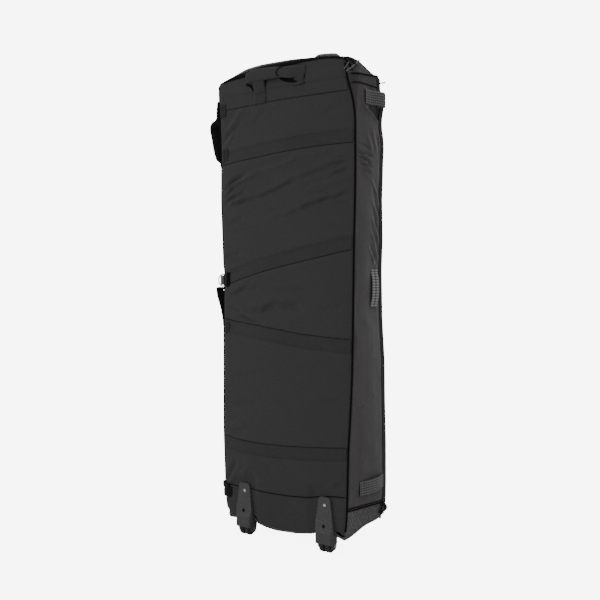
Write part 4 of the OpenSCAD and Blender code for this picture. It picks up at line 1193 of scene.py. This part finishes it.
# Straps on the two side walls. Each runs over its spots (along the wall, out from it) at one height or
# depth; flutter is how far its edges wave, and step how closely the run is drawn
wallStraps = {
    "haulHandleUpper": {
        "side": -1, "depth": 31, "wide": 54, "thick": 4.6, "flutter": 0.5, "step": 2.0,
        "cloth": "haulWebbing", "node": "haul_handle_upper", "slot": "black_webbing",
        "spots": [(1402, 4.0), (1388, 8.0), (1366, 12), (1346, 13), (1337, 20), (1332, 32), (1322, 40),
                  (1305, 42), (1280, 37.5), (1245, 30), (1212, 22), (1200, 16), (1193, 7), (1188, 2.4),
                  (1176, 1.8)],
    },
    "haulHandleLower": {
        "side": -1, "depth": 24, "wide": 38, "thick": 3.0, "flutter": 0.4, "step": 2.0,
        "cloth": "haulWebbing", "node": "haul_handle_lower", "slot": "black_webbing",
        "spots": [(637, 1.6), (660, 2.2), (690, 9.5), (722, 21), (748, 31), (763, 34.5), (768, 29),
                  (764, 12), (764, 2.6), (774, 1.6)],
    },
    "grabHandleUpper": {
        "side": 1, "height": 1355, "wide": 46, "thick": 3.2, "cloth": "greyWebbing",
        "node": "grab_handle_upper", "slot": "grey_webbing",
        "spots": [(51, 1.8), (60, 2.4), (74, 7), (92, 16), (108, 23), (124, 26.5), (136, 24), (138.5, 18),
                  (132, 9), (128, 3.5), (131, 1.8), (137, 1.8)],
    },
    "grabHandleLower": {
        "side": 1, "height": 136, "wide": 46, "thick": 3.2, "cloth": "greyWebbing",
        "node": "grab_handle_lower", "slot": "grey_webbing",
        "spots": [(63, 1.8), (76, 2.4), (96, 7.5), (125, 10.5), (150, 10.5), (174, 7.5), (192, 2.4),
                  (207, 1.8)],
    },
    "grabHandleMiddle": {
        "side": 1, "depth": 128.4, "wide": 48, "thick": 3.6, "cloth": "ladderWebbing",
        "node": "grab_handle_middle", "slot": "grey_webbing",
        "spots": [(706, 1.8), (718, 2.6), (730, 5.6), (748, 7.5), (765, 8), (782, 7.5), (800, 5.6),
                  (812, 2.6), (824, 1.8)],
    },
    "zipLoop": {
        "side": 1, "depth": 205, "wide": 20, "thick": 2.0, "step": 1.0, "cloth": "strapWebbing",
        "node": "zip_loop", "slot": "black_webbing",
        "spots": [(27, 1.6), (29, 3), (31, 12), (36, 19), (44, 21), (52, 19), (57, 12), (59, 3), (61, 1.6)],
    },
}


def buildWallStrap(name):
    made = wallStraps[name]
    run = smoothPath(made["spots"], made.get("step", 1.6))
    along, out = run[:, 0], run[:, 1]
    if "height" in made:
        v, w, acrossDir = along, np.full_like(along, made["height"]), (0, 0, 1)
    else:
        v, w, acrossDir = np.full_like(along, made["depth"]), along, (0, 1, 0)
    u = wallAt(v, w, made["side"])[:, 0] + made["side"] * out
    strap(name, np.stack([u, v, w], axis=-1), made["wide"], made["thick"], acrossDir, made["cloth"],
          [made["node"]], made["slot"], flutter=made.get("flutter", 0.0))


# Patches that wrap the back corner where the straps are sewn down: height, width, reach on the back, finish
cornerPatches = {
    "haulPatchTop": (1365, 44, 22, "patchWebbing"),
    "haulPatchMiddle": (1210, 52, 26, "patchWebbing"),
    # the ring's patch takes the black piping finish to paint the shade it lies in at the edge
    "ringPatchInShade": (793, 50, 17, "piping"),
    "haulPatchLower": (628, 42, 17, "patchWebbing"),
}
patchThick = 1.8
# The ring's tab, as (depth, out from the wall): its tail lies flat, so that the ring can fold down on it
ringTab = {
    "wide": 33, "thick": 1.9, "height": 792.2,
    "spots": [(46, 0.9), (28, 0.9), (14, 1.2), (5, 3.0), (2.4, 10), (4, 17.5), (9, 16.8), (12.6, 9.5),
              (16, 3.8), (20, 2.6), (34, 2.5), (46, 2.7)],
}


def cornerPatch(name, mid, tall, reach, kind):
    half = float(halfAt(mid, -1))
    ways = [way for way in np.linspace(0, 1, 34) * (reach + 46) if way < reach]
    picked = (ways[0], ways[len(ways) // 2], ways[-1])
    onBack = [backAt(-half + 13 + reach - way, mid, 2.0) for way in picked]
    deep = np.linspace(6, 40, 18)
    onWall = [wallAt(v, mid, -1, patchThick) for v in (deep[2], deep[8], deep[-1])]
    strap(name, smoothPath(onBack + onWall), tall, patchThick, (0, 0, 1), kind, slot="black_webbing")


def buildLeftHandles():
    buildWallStrap("haulHandleUpper")
    buildWallStrap("haulHandleLower")
    for name, values in cornerPatches.items():
        cornerPatch(name, *values)
    run = smoothPath(ringTab["spots"], 1.2)
    v = run[:, 0]
    base = wallAt(np.clip(v, 9, None), 792.0, -1)[:, 0]
    path = np.stack([base - run[:, 1], v, np.full(len(v), ringTab["height"])], axis=-1)
    strap("ringTab", path, ringTab["wide"], ringTab["thick"], (0, 0, 1), "tabWebbing", ["ring_tab"],
          "grey_webbing")
    print("stage: left handles done")


buildLeftHandles()
for strapName in ("grabHandleUpper", "grabHandleLower", "grabHandleMiddle", "zipLoop"):
    buildWallStrap(strapName)
print("stage: grab handles done")

# The carrying strap's middle line and width, as (u, w) and (u, width), and the two legs that hold it
topBar = {
    "middle": [(-140, 1452), (-120, 1456), (-97, 1458.5), (-60, 1457.5), (-20, 1455.5), (6, 1452),
               (38, 1448), (72, 1450), (86, 1451)],
    "wide": [(-140, 24), (-131, 33), (-110, 37), (-60, 37), (-20, 34), (6, 33), (38, 38), (72, 35),
             (86, 31)],
    "depth": -19.6,
    "turnIn": 15.0,       # how much nearer the shell its right end is
    # width and thickness of the flat strap, its folded roll and the padded grip
    "strap": (26, 2.8),
    "roll": (34, 8.0),
    "grip": (38, 10.0),
}
topLegs = {
    "Left": {"at": -89, "sewn": (1402,), "anchor": (1366, 1384, 1402),
             "rise": [(-11, 1417), (-16.5, 1432), (-17.6, 1452), (-17.6, 1468)]},
    "Right": {"at": 59, "sewn": (1408.5, 1410), "anchor": (),
              "rise": [(-7, 1416), (-9.5, 1424), (-8.5, 1434), (-7, 1444)]},
}
# width and thickness of each layer of a leg; the edge layer is a black strip just behind the leg, a little
# wider, that paints the shade along its edges
legLayers = {"anchor": (49, 2.8), "edge": (50.5, 1.6), "leg": (47, 2.6)}
# black patches on the shell under each end of the strap, painting the shade in the gaps beneath it: spots and
# width
topShadePatches = {
    "Left": ([(-146, 1438), (-134, 1433), (-122, 1425), (-112, 1412)], 8),
    "Right": ([(-8, 1441), (10, 1431), (30, 1425), (52, 1423), (74, 1428)], 13),
}
# the handle on the top's flat part: (u, out from the cloth), and the tail of dark cloth on the grip
endHandle = {
    "depth": 36.0, "lift": 2.5, "wide": 30, "thick": 3.0,
    "spots": [(88, 1.8), (100, 2.2), (110, 8), (120, 12), (149, 13), (178, 12), (188, 8), (198, 2.2),
              (210, 1.8)],
}
gripEdge = [(-5, -24.6, 1439), (-13, -25.6, 1450), (-9, -25.4, 1461), (0, -23.6, 1467), (12, -22.4, 1468.5)]


def barAt(u):
    v = topBar["depth"] + topBar["turnIn"] * smooth((u - 26) / 58)
    return np.stack([u, v, through(topBar["middle"], u, 6)], axis=-1)


def buildTopLeg(name, leg):
    centre = leg["at"]
    if leg["anchor"]:
        spots = [backAt(centre, w, 2.6) for w in leg["anchor"]]
        strap("topStrapAnchor", smoothPath(spots), *legLayers["anchor"], (1, 0, 0), "blackWebbing",
              slot="black_webbing")
    spots = [backAt(centre, w, 2.6) for w in leg["sewn"]] + [(centre, v, w) for v, w in leg["rise"]]
    run = smoothPath(spots)
    # black strip behind the leg: painted shade along the leg's edges
    strap("topStrapLegShadeEdge" + name, run + [0, 1.4, 0], *legLayers["edge"], (1, 0, 0), "piping",
          slot="black_webbing")
    strap("topStrapLeg" + name, run, *legLayers["leg"], (1, 0, 0), "blackWebbing", ["top_strap"],
          "black_webbing", cup=1.6)
    if not leg["anchor"]:
        return []
    sewn = np.array((1368, 1376, 1384, 1392))
    return [(backAt(centre + side * 18, sewn, 4.2), (0, -1, 0)) for side in (-1, 1)]


def buildTopHandles():
    threads = []
    for name, leg in topLegs.items():
        threads += buildTopLeg(name, leg)
    strap("topStrap", barAt(np.linspace(-112, 82, 60)), *topBar["strap"], (0, 0, 1), "backCloth",
          ["top_strap"], "black_webbing")
    # black patches under the strap's ends: painted shade
    for name, (spots, wide) in topShadePatches.items():
        run = smoothPath(spots)
        strap("topStrapShadePatch" + name, backAt(run[:, 0], run[:, 1], 2.0), wide, 1.2, (0, 0, 1), "piping",
              slot="black_webbing")
    u = np.linspace(-16, 86, 60)
    roll("topStrapRoll", barAt(u), *topBar["roll"], through(topBar["wide"], u, 3), "shell_fabric",
         power=2.4, puff=0.05)
    u = np.linspace(-137, -9, 70)
    roll("topGrip", barAt(u), *topBar["grip"], through(topBar["wide"], u, 3) + 1.5, "shell_fabric",
         ["top_grip"], power=2.6, puff=0.04)
    tube("topGripEdge", smoothPath(gripEdge), 1.5, "strapWebbing")
    stitchRow("topStrapThread", threads)
    run = smoothPath(endHandle["spots"], 1.6)
    u, v = run[:, 0], np.full(len(run), endHandle["depth"])
    path = np.stack([u, v, crestAt(u, v) + run[:, 1] + endHandle["lift"]], axis=-1)
    strap("endHandle", path, endHandle["wide"], endHandle["thick"], (0, 0.86, -0.5), "paleWebbing",
          ["end_handle"], "grey_webbing")
    print("stage: top handles done")


buildTopHandles()

# Bunched cloth and its bound edges at the top right corner: spots, then width. The bunched cloth is drawn as
# rolls coloured black, which paints the shade in its deep creases
cornerFoldShades = {
    "cornerFoldShade1": ([(219, 0, 1470), (233, -2, 1456), (244, -1, 1441), (250, 2, 1426)], 3.4, "piping"),
    "cornerFoldShade2": ([(233, 1, 1468), (245, -1, 1459), (256, 3, 1448), (261, 8, 1437)], 3.4, "strapWebbing"),
}
# the bound edges are pale grey, which paints the highlights on them
cornerBindings = {
    "cornerBinding1": ([(233, -3, 1425), (248, -2, 1432), (260, 5, 1443), (267, 17, 1456)], 6.5),
    "cornerBinding2": ([(227, -7, 1430), (237, -8.5, 1439), (245, -7, 1450)], 3.6),
}
# Spare webbing wound round the left edge above the wheel end: height and width of each turn
spareTurns = ((78, 26), (66, 22), (94, 18))


def buildCorner():
    # the fold rolls are real bunched cloth, and their black colour is painted shade of the creases
    for name, (spots, wide, kind) in cornerFoldShades.items():
        tube(name, smoothPath(spots, 1.6), wide, kind)
    for name, (spots, wide) in cornerBindings.items():
        strap(name, smoothPath(spots, 1.6), wide, 1.6, (-0.5, 0.3, 0.8), "foldBindingHighlight", slot="side_fabric")


def buildSpareWebbing():
    for k, (w, tall) in enumerate(spareTurns):
        spots = [backAt(u, w, 2.4 + 1.3 * k) for u in (-212 - 5 * k, -224, -234)]
        half = float(halfAt(w, -1))
        spots += [(-half - 7 - 2 * k, 7, w), (-half - 12 - 2 * k, 15, w + 1), wallAt(32, w + 1, -1, 5 + k),
                  wallAt(52, w + 2, -1, 1.8)]
        strap("spareWebbing%d" % (k + 1), smoothPath(spots), tall, 2.0, (0, 0, 1), "strapWebbing",
              slot="black_webbing", flutter=0.5)


buildCorner()
buildSpareWebbing()

# The zip: width of its tapes, and the spacing and size of its teeth
zipRun = {"tape": 12.0, "lidTape": 10.0, "pitch": 2.8, "tooth": 1.3,
          "profile": ((-2.6, 1.2), (-1.2, 2.5), (0.9, 2.5), (1.4, 1.3))}


def zipPath():
    # runs round the opening: along the wheel end, up the right side, back along the top
    low = [(u, 4.0) for u in np.linspace(-214, 200, 40)]
    heights = np.concatenate([np.linspace(16, 60, 10), np.linspace(75, 1428, 190)])
    side = [(float(frontHalf(w, 1)) + 1.0, float(w)) for w in heights]
    high = [(u, frontW + 1.2) for u in np.linspace(254, -258, 60)]
    path = smoothPath(low + side + high, 4.0)[:, :2]
    tangent = unit(np.gradient(path, axis=0))
    return path, np.stack([tangent[:, 1], -tangent[:, 0]], axis=-1)


def buildCoil(name, body, first, path, out, deep):
    # every other tooth belongs to the body, the rest to the lid
    length = runLength(path)
    points, faces = [], []
    way = 1 if body == "bag" else -1
    for x in np.arange(4, length[-1] - 4, zipRun["pitch"])[first::2]:
        u, w, du, dw, v = [np.interp(x, length, col) for col in (*path.T, *out.T, deep)]
        base = len(points)
        for along in (-zipRun["tooth"] / 2, zipRun["tooth"] / 2):
            for dv, lift in zipRun["profile"]:
                points.append((u + du * lift - dw * along, v + 0.3 + way * dv, w + dw * lift + du * along))
        faces += [(base, base + 1, base + 2, base + 3), (base + 7, base + 6, base + 5, base + 4)]
        faces += [(base + k, base + 4 + k, base + 4 + (k + 1) % 4, base + (k + 1) % 4) for k in range(4)]
    finish(bagMesh(name, points, faces, np.zeros((len(points), 2)), "coil", soft=False), body)


def buildZip():
    path, out = zipPath()
    deep = bodyDepth(np.clip(path[:, 1], 0, frontW))
    lift = (0.9 - 0.5 * np.abs(np.linspace(-1, 1, 5)) ** 4)[None, :]
    u, w = [path[:, k:k + 1] + out[:, k:k + 1] * lift for k in (0, 1)]
    for name, node, body, a, b in (("zipTapeBody", "zip_tape_body", "bag", -zipRun["tape"], -0.2),
                                   ("zipTapeLid", "zip_tape_lid", "lid", 0.7, 0.7 + zipRun["lidTape"])):
        v = deep[:, None] + np.linspace(a, b, 5)[None, :]
        clothSheet(name, (u, v, w), "zipTape", body, [node], flip=True, thick=0.8)
    buildCoil("zipCoilBody", "bag", 0, path, out, deep)
    buildCoil("zipCoilLid", "lid", 1, path, out, deep)
    print("stage: zip done")


buildZip()

# The lid: how it is rounded at its edges, how far in its seam runs, its quilted pad and its creases
lid = {
    "crown": 6, "round": 12, "hingeRound": 3.5, "toeRound": 30, "seam": 34,
    "pad": (11.0, 2.0), "quilt": 4.0, "quiltRow": 180.0,
    "folds": [
        ((-180, 1330, -20, 1270), 1.8, 9), ((-190, 1250, 10, 1180), -2.0, 8),
        ((40, 1130, 200, 1190), 1.9, 9), ((-170, 1080, -60, 1020), -1.8, 8), ((60, 960, 190, 1000), 1.6, 8),
        ((-150, 820, 20, 780), -1.6, 9), ((20, 700, 180, 740), 1.8, 9), ((-170, 560, -30, 600), 1.5, 10),
        ((30, 430, 170, 400), -1.6, 9), ((-160, 300, -40, 260), 1.6, 9), ((50, 180, 170, 230), 1.5, 9),
        ((-180, 690, -120, 640), -1.4, 7),
    ],
}


def lidSpot(a, b, lift=0.0):
    w = frontW / 2 * (1 + b)
    half = np.where(a > 0, frontHalf(w, 1), frontHalf(w, -1))
    u = a * half
    side = (1 - np.abs(a)) * half
    end = (1 - np.abs(b)) * frontW / 2
    r = np.where(a > 0, lid["round"], lid["hingeRound"])
    toe = np.where(b < 0, lid["toeRound"], lid["round"])
    inset = np.maximum(1 - side / r, 0) ** 2 + np.maximum(1 - end / toe, 0) ** 2
    rise = np.sqrt(np.maximum(1 - inset, 0))
    crown = lid["crown"] * (1 - a ** 2) * (1 - b ** 6) * smooth(side / 40) * smooth(end / 60)
    near = np.minimum(side, end)
    soft = 1.9 * gentle(u, w, 240, 61) + 1.0 * gentle(u, w, 85, 62) + foldHeight(u, w, lid["folds"])
    soft = soft * smooth((near - 8) / 40)
    groove = 1.4 * np.exp(-((near - lid["seam"]) / 3.0) ** 2)
    outer = bodyDepth(w) + bag["lidGap"] + 0.6 + (bag["lidThick"] - 0.6) * rise
    return u, outer + crown + soft - groove + lift * rise, w


def buildLidPad():
    # inner pad of the lid, quilted in rows
    a = np.linspace(-0.985, 0.985, 61)[None, :]
    b = np.linspace(-0.985, 0.985, 161)[:, None]
    w = frontW / 2 * (1 + b) + 0 * a
    u = a * np.where(a > 0, frontHalf(w, 1), frontHalf(w, -1)) - 2 * a
    outer, inner = [bodyDepth(w) + d for d in lid["pad"]]
    row = np.abs(np.sin(pi * (w / lid["quiltRow"])))
    quilt = lid["quilt"] * np.clip(row * 6, 0, 1) ** 0.5 * (1 - np.abs(a) ** 8) + 0.6 * gentle(u, w, 60, 71)
    inner = inner - quilt * smooth((1 - np.abs(a)) * 8)
    slab("lidPad", (u, outer, w), (u, inner, w), "lid_pad", "lid", fill=0.6, flip=True)


def buildHinge():
    # a strip of cloth on the left wall up to the lid's outer edge, and its turn-over on the lid
    w = between(6, frontW - 6, 150)
    off = np.linspace(0, 1, 9)[None, :]
    half = frontHalf(w, -1)
    deep = bodyDepth(w)
    clothSheet("hingeTape", (-half - 1.0, deep - 12 + (bag["lidThick"] + 12.3) * off, w), "hingeCloth",
               "bag", ["hinge_tape"], flip=True, thick=0.8)
    columns = [(du - half, deep + bag["lidThick"] + dv, w)
               for du, dv in ((-1.3, -4.0), (-1.4, -2.0), (-1.3, 0.2), (-0.9, 1.2), (0.2, 1.8), (1.6, 2.0))]
    columns += [lidSpot(-1 + du / half, 2 * w / frontW - 1, 1.0) for du in (4, 7, 10, 13, 16, 19)]
    grid = [np.concatenate([column[k] for column in columns], axis=1) for k in range(3)]
    turnover = clothSheet("hingeTurnover", grid, "hingeCloth", None, (), flip=True, thick=0.8)
    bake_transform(turnover)


def buildLid():
    a, b = edgeSpread(111)[None, :], edgeSpread(281)[:, None]
    clothSheet("lidPanel", lidSpot(a, b), "sideCloth", "lid", ["lid_panel"], flip=True,
               thick=1.6)
    buildLidPad()
    buildHinge()
    rows = []
    for inset in (lid["seam"] - 4, lid["seam"] + 4):
        w = np.linspace(inset, frontW - inset, 300)
        for side in (-1, 1):
            rows.append((side * (1 - inset / frontHalf(w, side)), 2 * w / frontW - 1))
        along = np.linspace(-1 + inset / 236, 1 - inset / 236, 120)
        for end in (-1 + 2 * inset / frontW, 1 - 2 * inset / frontW):
            rows.append((along, np.full_like(along, end)))
    stitchRow("lidThread", [(np.stack(lidSpot(*row, 0.3), axis=-1), (0, 1, 0)) for row in rows], "lid")
    print("stage: lid done")


buildLid()

# Inside: stiff boards by their corners, and how deep the padding and the lining lie under the cloth
boards = {
    "baseBoard": {"node": "base_board", "corners": [(-210, 6), (210, 6), (244, 1428), (-244, 1428)],
                  "round": 46, "upright": True},
    "endBoard": {"node": "end_board", "corners": [(-208, 14), (208, 14), (202, 226), (-202, 226)],
                 "round": 24, "upright": False},
}
boardThick = 2.4
inside = {"backPad": (5.2, 13.2), "wallPad": (2.6, 10.4), "topPad": (3.0, 10.6), "endPad": (5.2, 13.0),
          "backLining": 14.4, "wallLining": 11.8, "topLining": 12.2, "mouth": 1.5, "binding": (10.5, 1.2)}


def insetBack(s, w, d):
    u, v, nu, nv = backBase(s, w)
    return u - nu * d, v - nv * d, w + 0 * u


def insetWall(t, w, side, d):
    # the padding gives way where the cloth is sucked in
    u, v, nu, nv = wallBase(t, w, side)
    edge = np.minimum(v + 2, bodyDepth(w) - v)
    low = np.minimum(wallRelief(v, w, side) * smooth(edge / 24), 0)
    d = d - 1.1 * low + 1.6 * smooth(-low / 3)
    return u - nu * d, v - nv * d, w + 0 * u


def buildBoard(name, board):
    # stiff board with rounded corners; corners are given in its own plane
    outline = []
    corners = [np.array(c, float) for c in board["corners"]]
    for i, c in enumerate(corners):
        before, after = corners[i - 1] - c, corners[(i + 1) % len(corners)] - c
        a = c + before / np.linalg.norm(before) * board["round"]
        b = c + after / np.linalg.norm(after) * board["round"]
        for k in range(9):
            q = k / 8
            outline.append((1 - q) ** 2 * a + 2 * q * (1 - q) * c + q ** 2 * b)
    outline = np.array(outline)
    inward = unit(outline.mean(axis=0) - outline)
    points = []
    for layer, inset in ((0, 0.4), (0.35, 0), (boardThick - 0.35, 0), (boardThick, 0.4)):
        deep = boardThick + layer
        for x, y in outline + inward * inset:
            points.append((x, deep, y) if board["upright"] else (x, y, deep))
    count = len(outline)
    faces = endFaces(4, count) + ringFaces(4, count)
    uvs = np.array(points)[:, :2] / 1000
    finish(bagMesh(name, points, faces, uvs, "board", soft=False), "bag", [board["node"]])


def mouthDepths(low, w, count):
    return np.linspace(low, float(bodyDepth(w)) - inside["mouth"], count)


def buildPads():
    s = np.linspace(0.02, 0.98, 61)[None, :]
    uCol = backBase(s, np.full_like(s, columnsAt))[0]
    w = between(16, crest(uCol) - 34, 141)
    slab("backPad", *[insetBack(s, w, d) for d in inside["backPad"]], "back_pad")
    share = np.linspace(0.03, 0.995, 31)[None, :]
    w = between(16, 1424, 141) + 0 * share
    for side, name in ((1, "right"), (-1, "left")):
        slab(name + "Pad", *[insetWall(share, w, side, d) for d in inside["wallPad"]], name + "_pad",
             flip=side < 0)
    even = np.linspace(-1, 1, 61)
    u, v = planGrid(mouthDepths(8, frontW, 21), 1440.0, even, 8)[:2]
    slab("topPad", *[(u, v, crestAt(u, v) - d) for d in inside["topPad"]], "top_pad")
    u, v = planGrid(mouthDepths(14, 12, 31), 12.0, even, 14)[:2]
    slab("endPad", *[(u, v, np.array([[d]])) for d in inside["endPad"]], "end_pad", flip=True)


def buildLining():
    # one wrap round the two walls and the back, with a top and an end piece
    rows = np.linspace(13.4, 1428, 150)[:, None]

    def wallPart(start, end, side):
        share = np.linspace(start, end, 24)[None, :]
        return insetWall(share, rows + 0 * share, side, inside["wallLining"])

    share = np.linspace(0.03, 0.97, 50)[None, :]
    wide = [wallPart(0.992, 0.03, -1), insetBack(share, rows + 0 * share, inside["backLining"]),
            wallPart(0.03, 0.992, 1)]
    u, v, w = [np.concatenate([part[k] for part in wide], axis=1) for k in range(3)]
    ease = 0.8 * gentle(u + v, w, 130, 81) * smooth((w - 14) / 60) * smooth((1420 - w) / 60)
    clothSheet("liningWrap", (u, v + ease, w), "liningCloth", "bag", ["lining"], flip=True,
               thick=0.8)
    even = np.linspace(-1, 1, 61)
    u, v = planGrid(mouthDepths(16, frontW, 21), 1430.0, even, 12)[:2]
    w = crestAt(u, v) - inside["topLining"] + 0.4 * gentle(u, v, 60, 83)
    clothSheet("liningTop", (u, v, w), "liningCloth", "bag", ["lining"], flip=True, thick=0.8)
    u, v = planGrid(mouthDepths(12, 12, 31), 14.0, even, 9.5)[:2]
    w = 14.8 + 0.4 * gentle(u, v, 60, 84)
    clothSheet("liningEnd", (u, v, w), "liningCloth", "bag", ["lining"], thick=0.8)


def buildInside():
    for name, board in boards.items():
        buildBoard(name, board)
    buildPads()
    buildLining()
    # binding over the padding's raw edge round the mouth
    rows = np.linspace(20, 1422, 200)
    for side, name in sides:
        edges = [insetWall(0.995, rows, side, deep) for deep in (2.0, 11)]
        u, v, w = [(p + q) / 2 for p, q in zip(*edges)]
        strap("mouthBinding" + name, np.stack([u, v - 0.4, w], axis=-1), *inside["binding"], (1, 0, 0),
              "piping", cup=0.5)
    print("stage: inside done")


buildInside()

# Finishes of the hard parts that come with the frame, and how far their edges are worn round in mm
hardParts = {
    "bracket_left": "bracket", "bracket_right": "bracket", "bracket_rivets": "rivets",
    "backing_plates": "steel", "wheel_axles": "steel", "axle_nuts": "steel", "axle_spacers": "steel",
    "feet": "foot", "foot_rivets": "steel", "d_ring": "chrome", "slider_side": "zipMetal",
    "slider_top": "zipMetal", "pull_side": "pull", "pull_top": "pull",
}
softened = {"bracket_left": 1.4, "bracket_right": 1.4, "feet": 1.2, "slider_side": 0.5, "slider_top": 0.5,
            "pull_side": 0.6, "pull_top": 0.6}
for i in range(1, 5):
    hardParts["tyre_%d" % i] = "tyre"
    hardParts["hub_%d" % i] = "hub"
    hardParts["bearings_%d" % i] = "steel"
    softened["tyre_%d" % i] = 0.8


def finishHardParts():
    for node, kind in hardParts.items():
        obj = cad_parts[node]
        for slot in obj.material_slots:
            slot.link = "OBJECT"
            slot.material = finishes[kind]
        if node in softened:
            edge = obj.modifiers.new("worn edge", "BEVEL")
            edge.width = softened[node] / 1000
            edge.segments = 3
            edge.limit_method = "ANGLE"
            edge.angle_limit = math.radians(32)
    print("stage: hard parts finished")


finishHardParts()
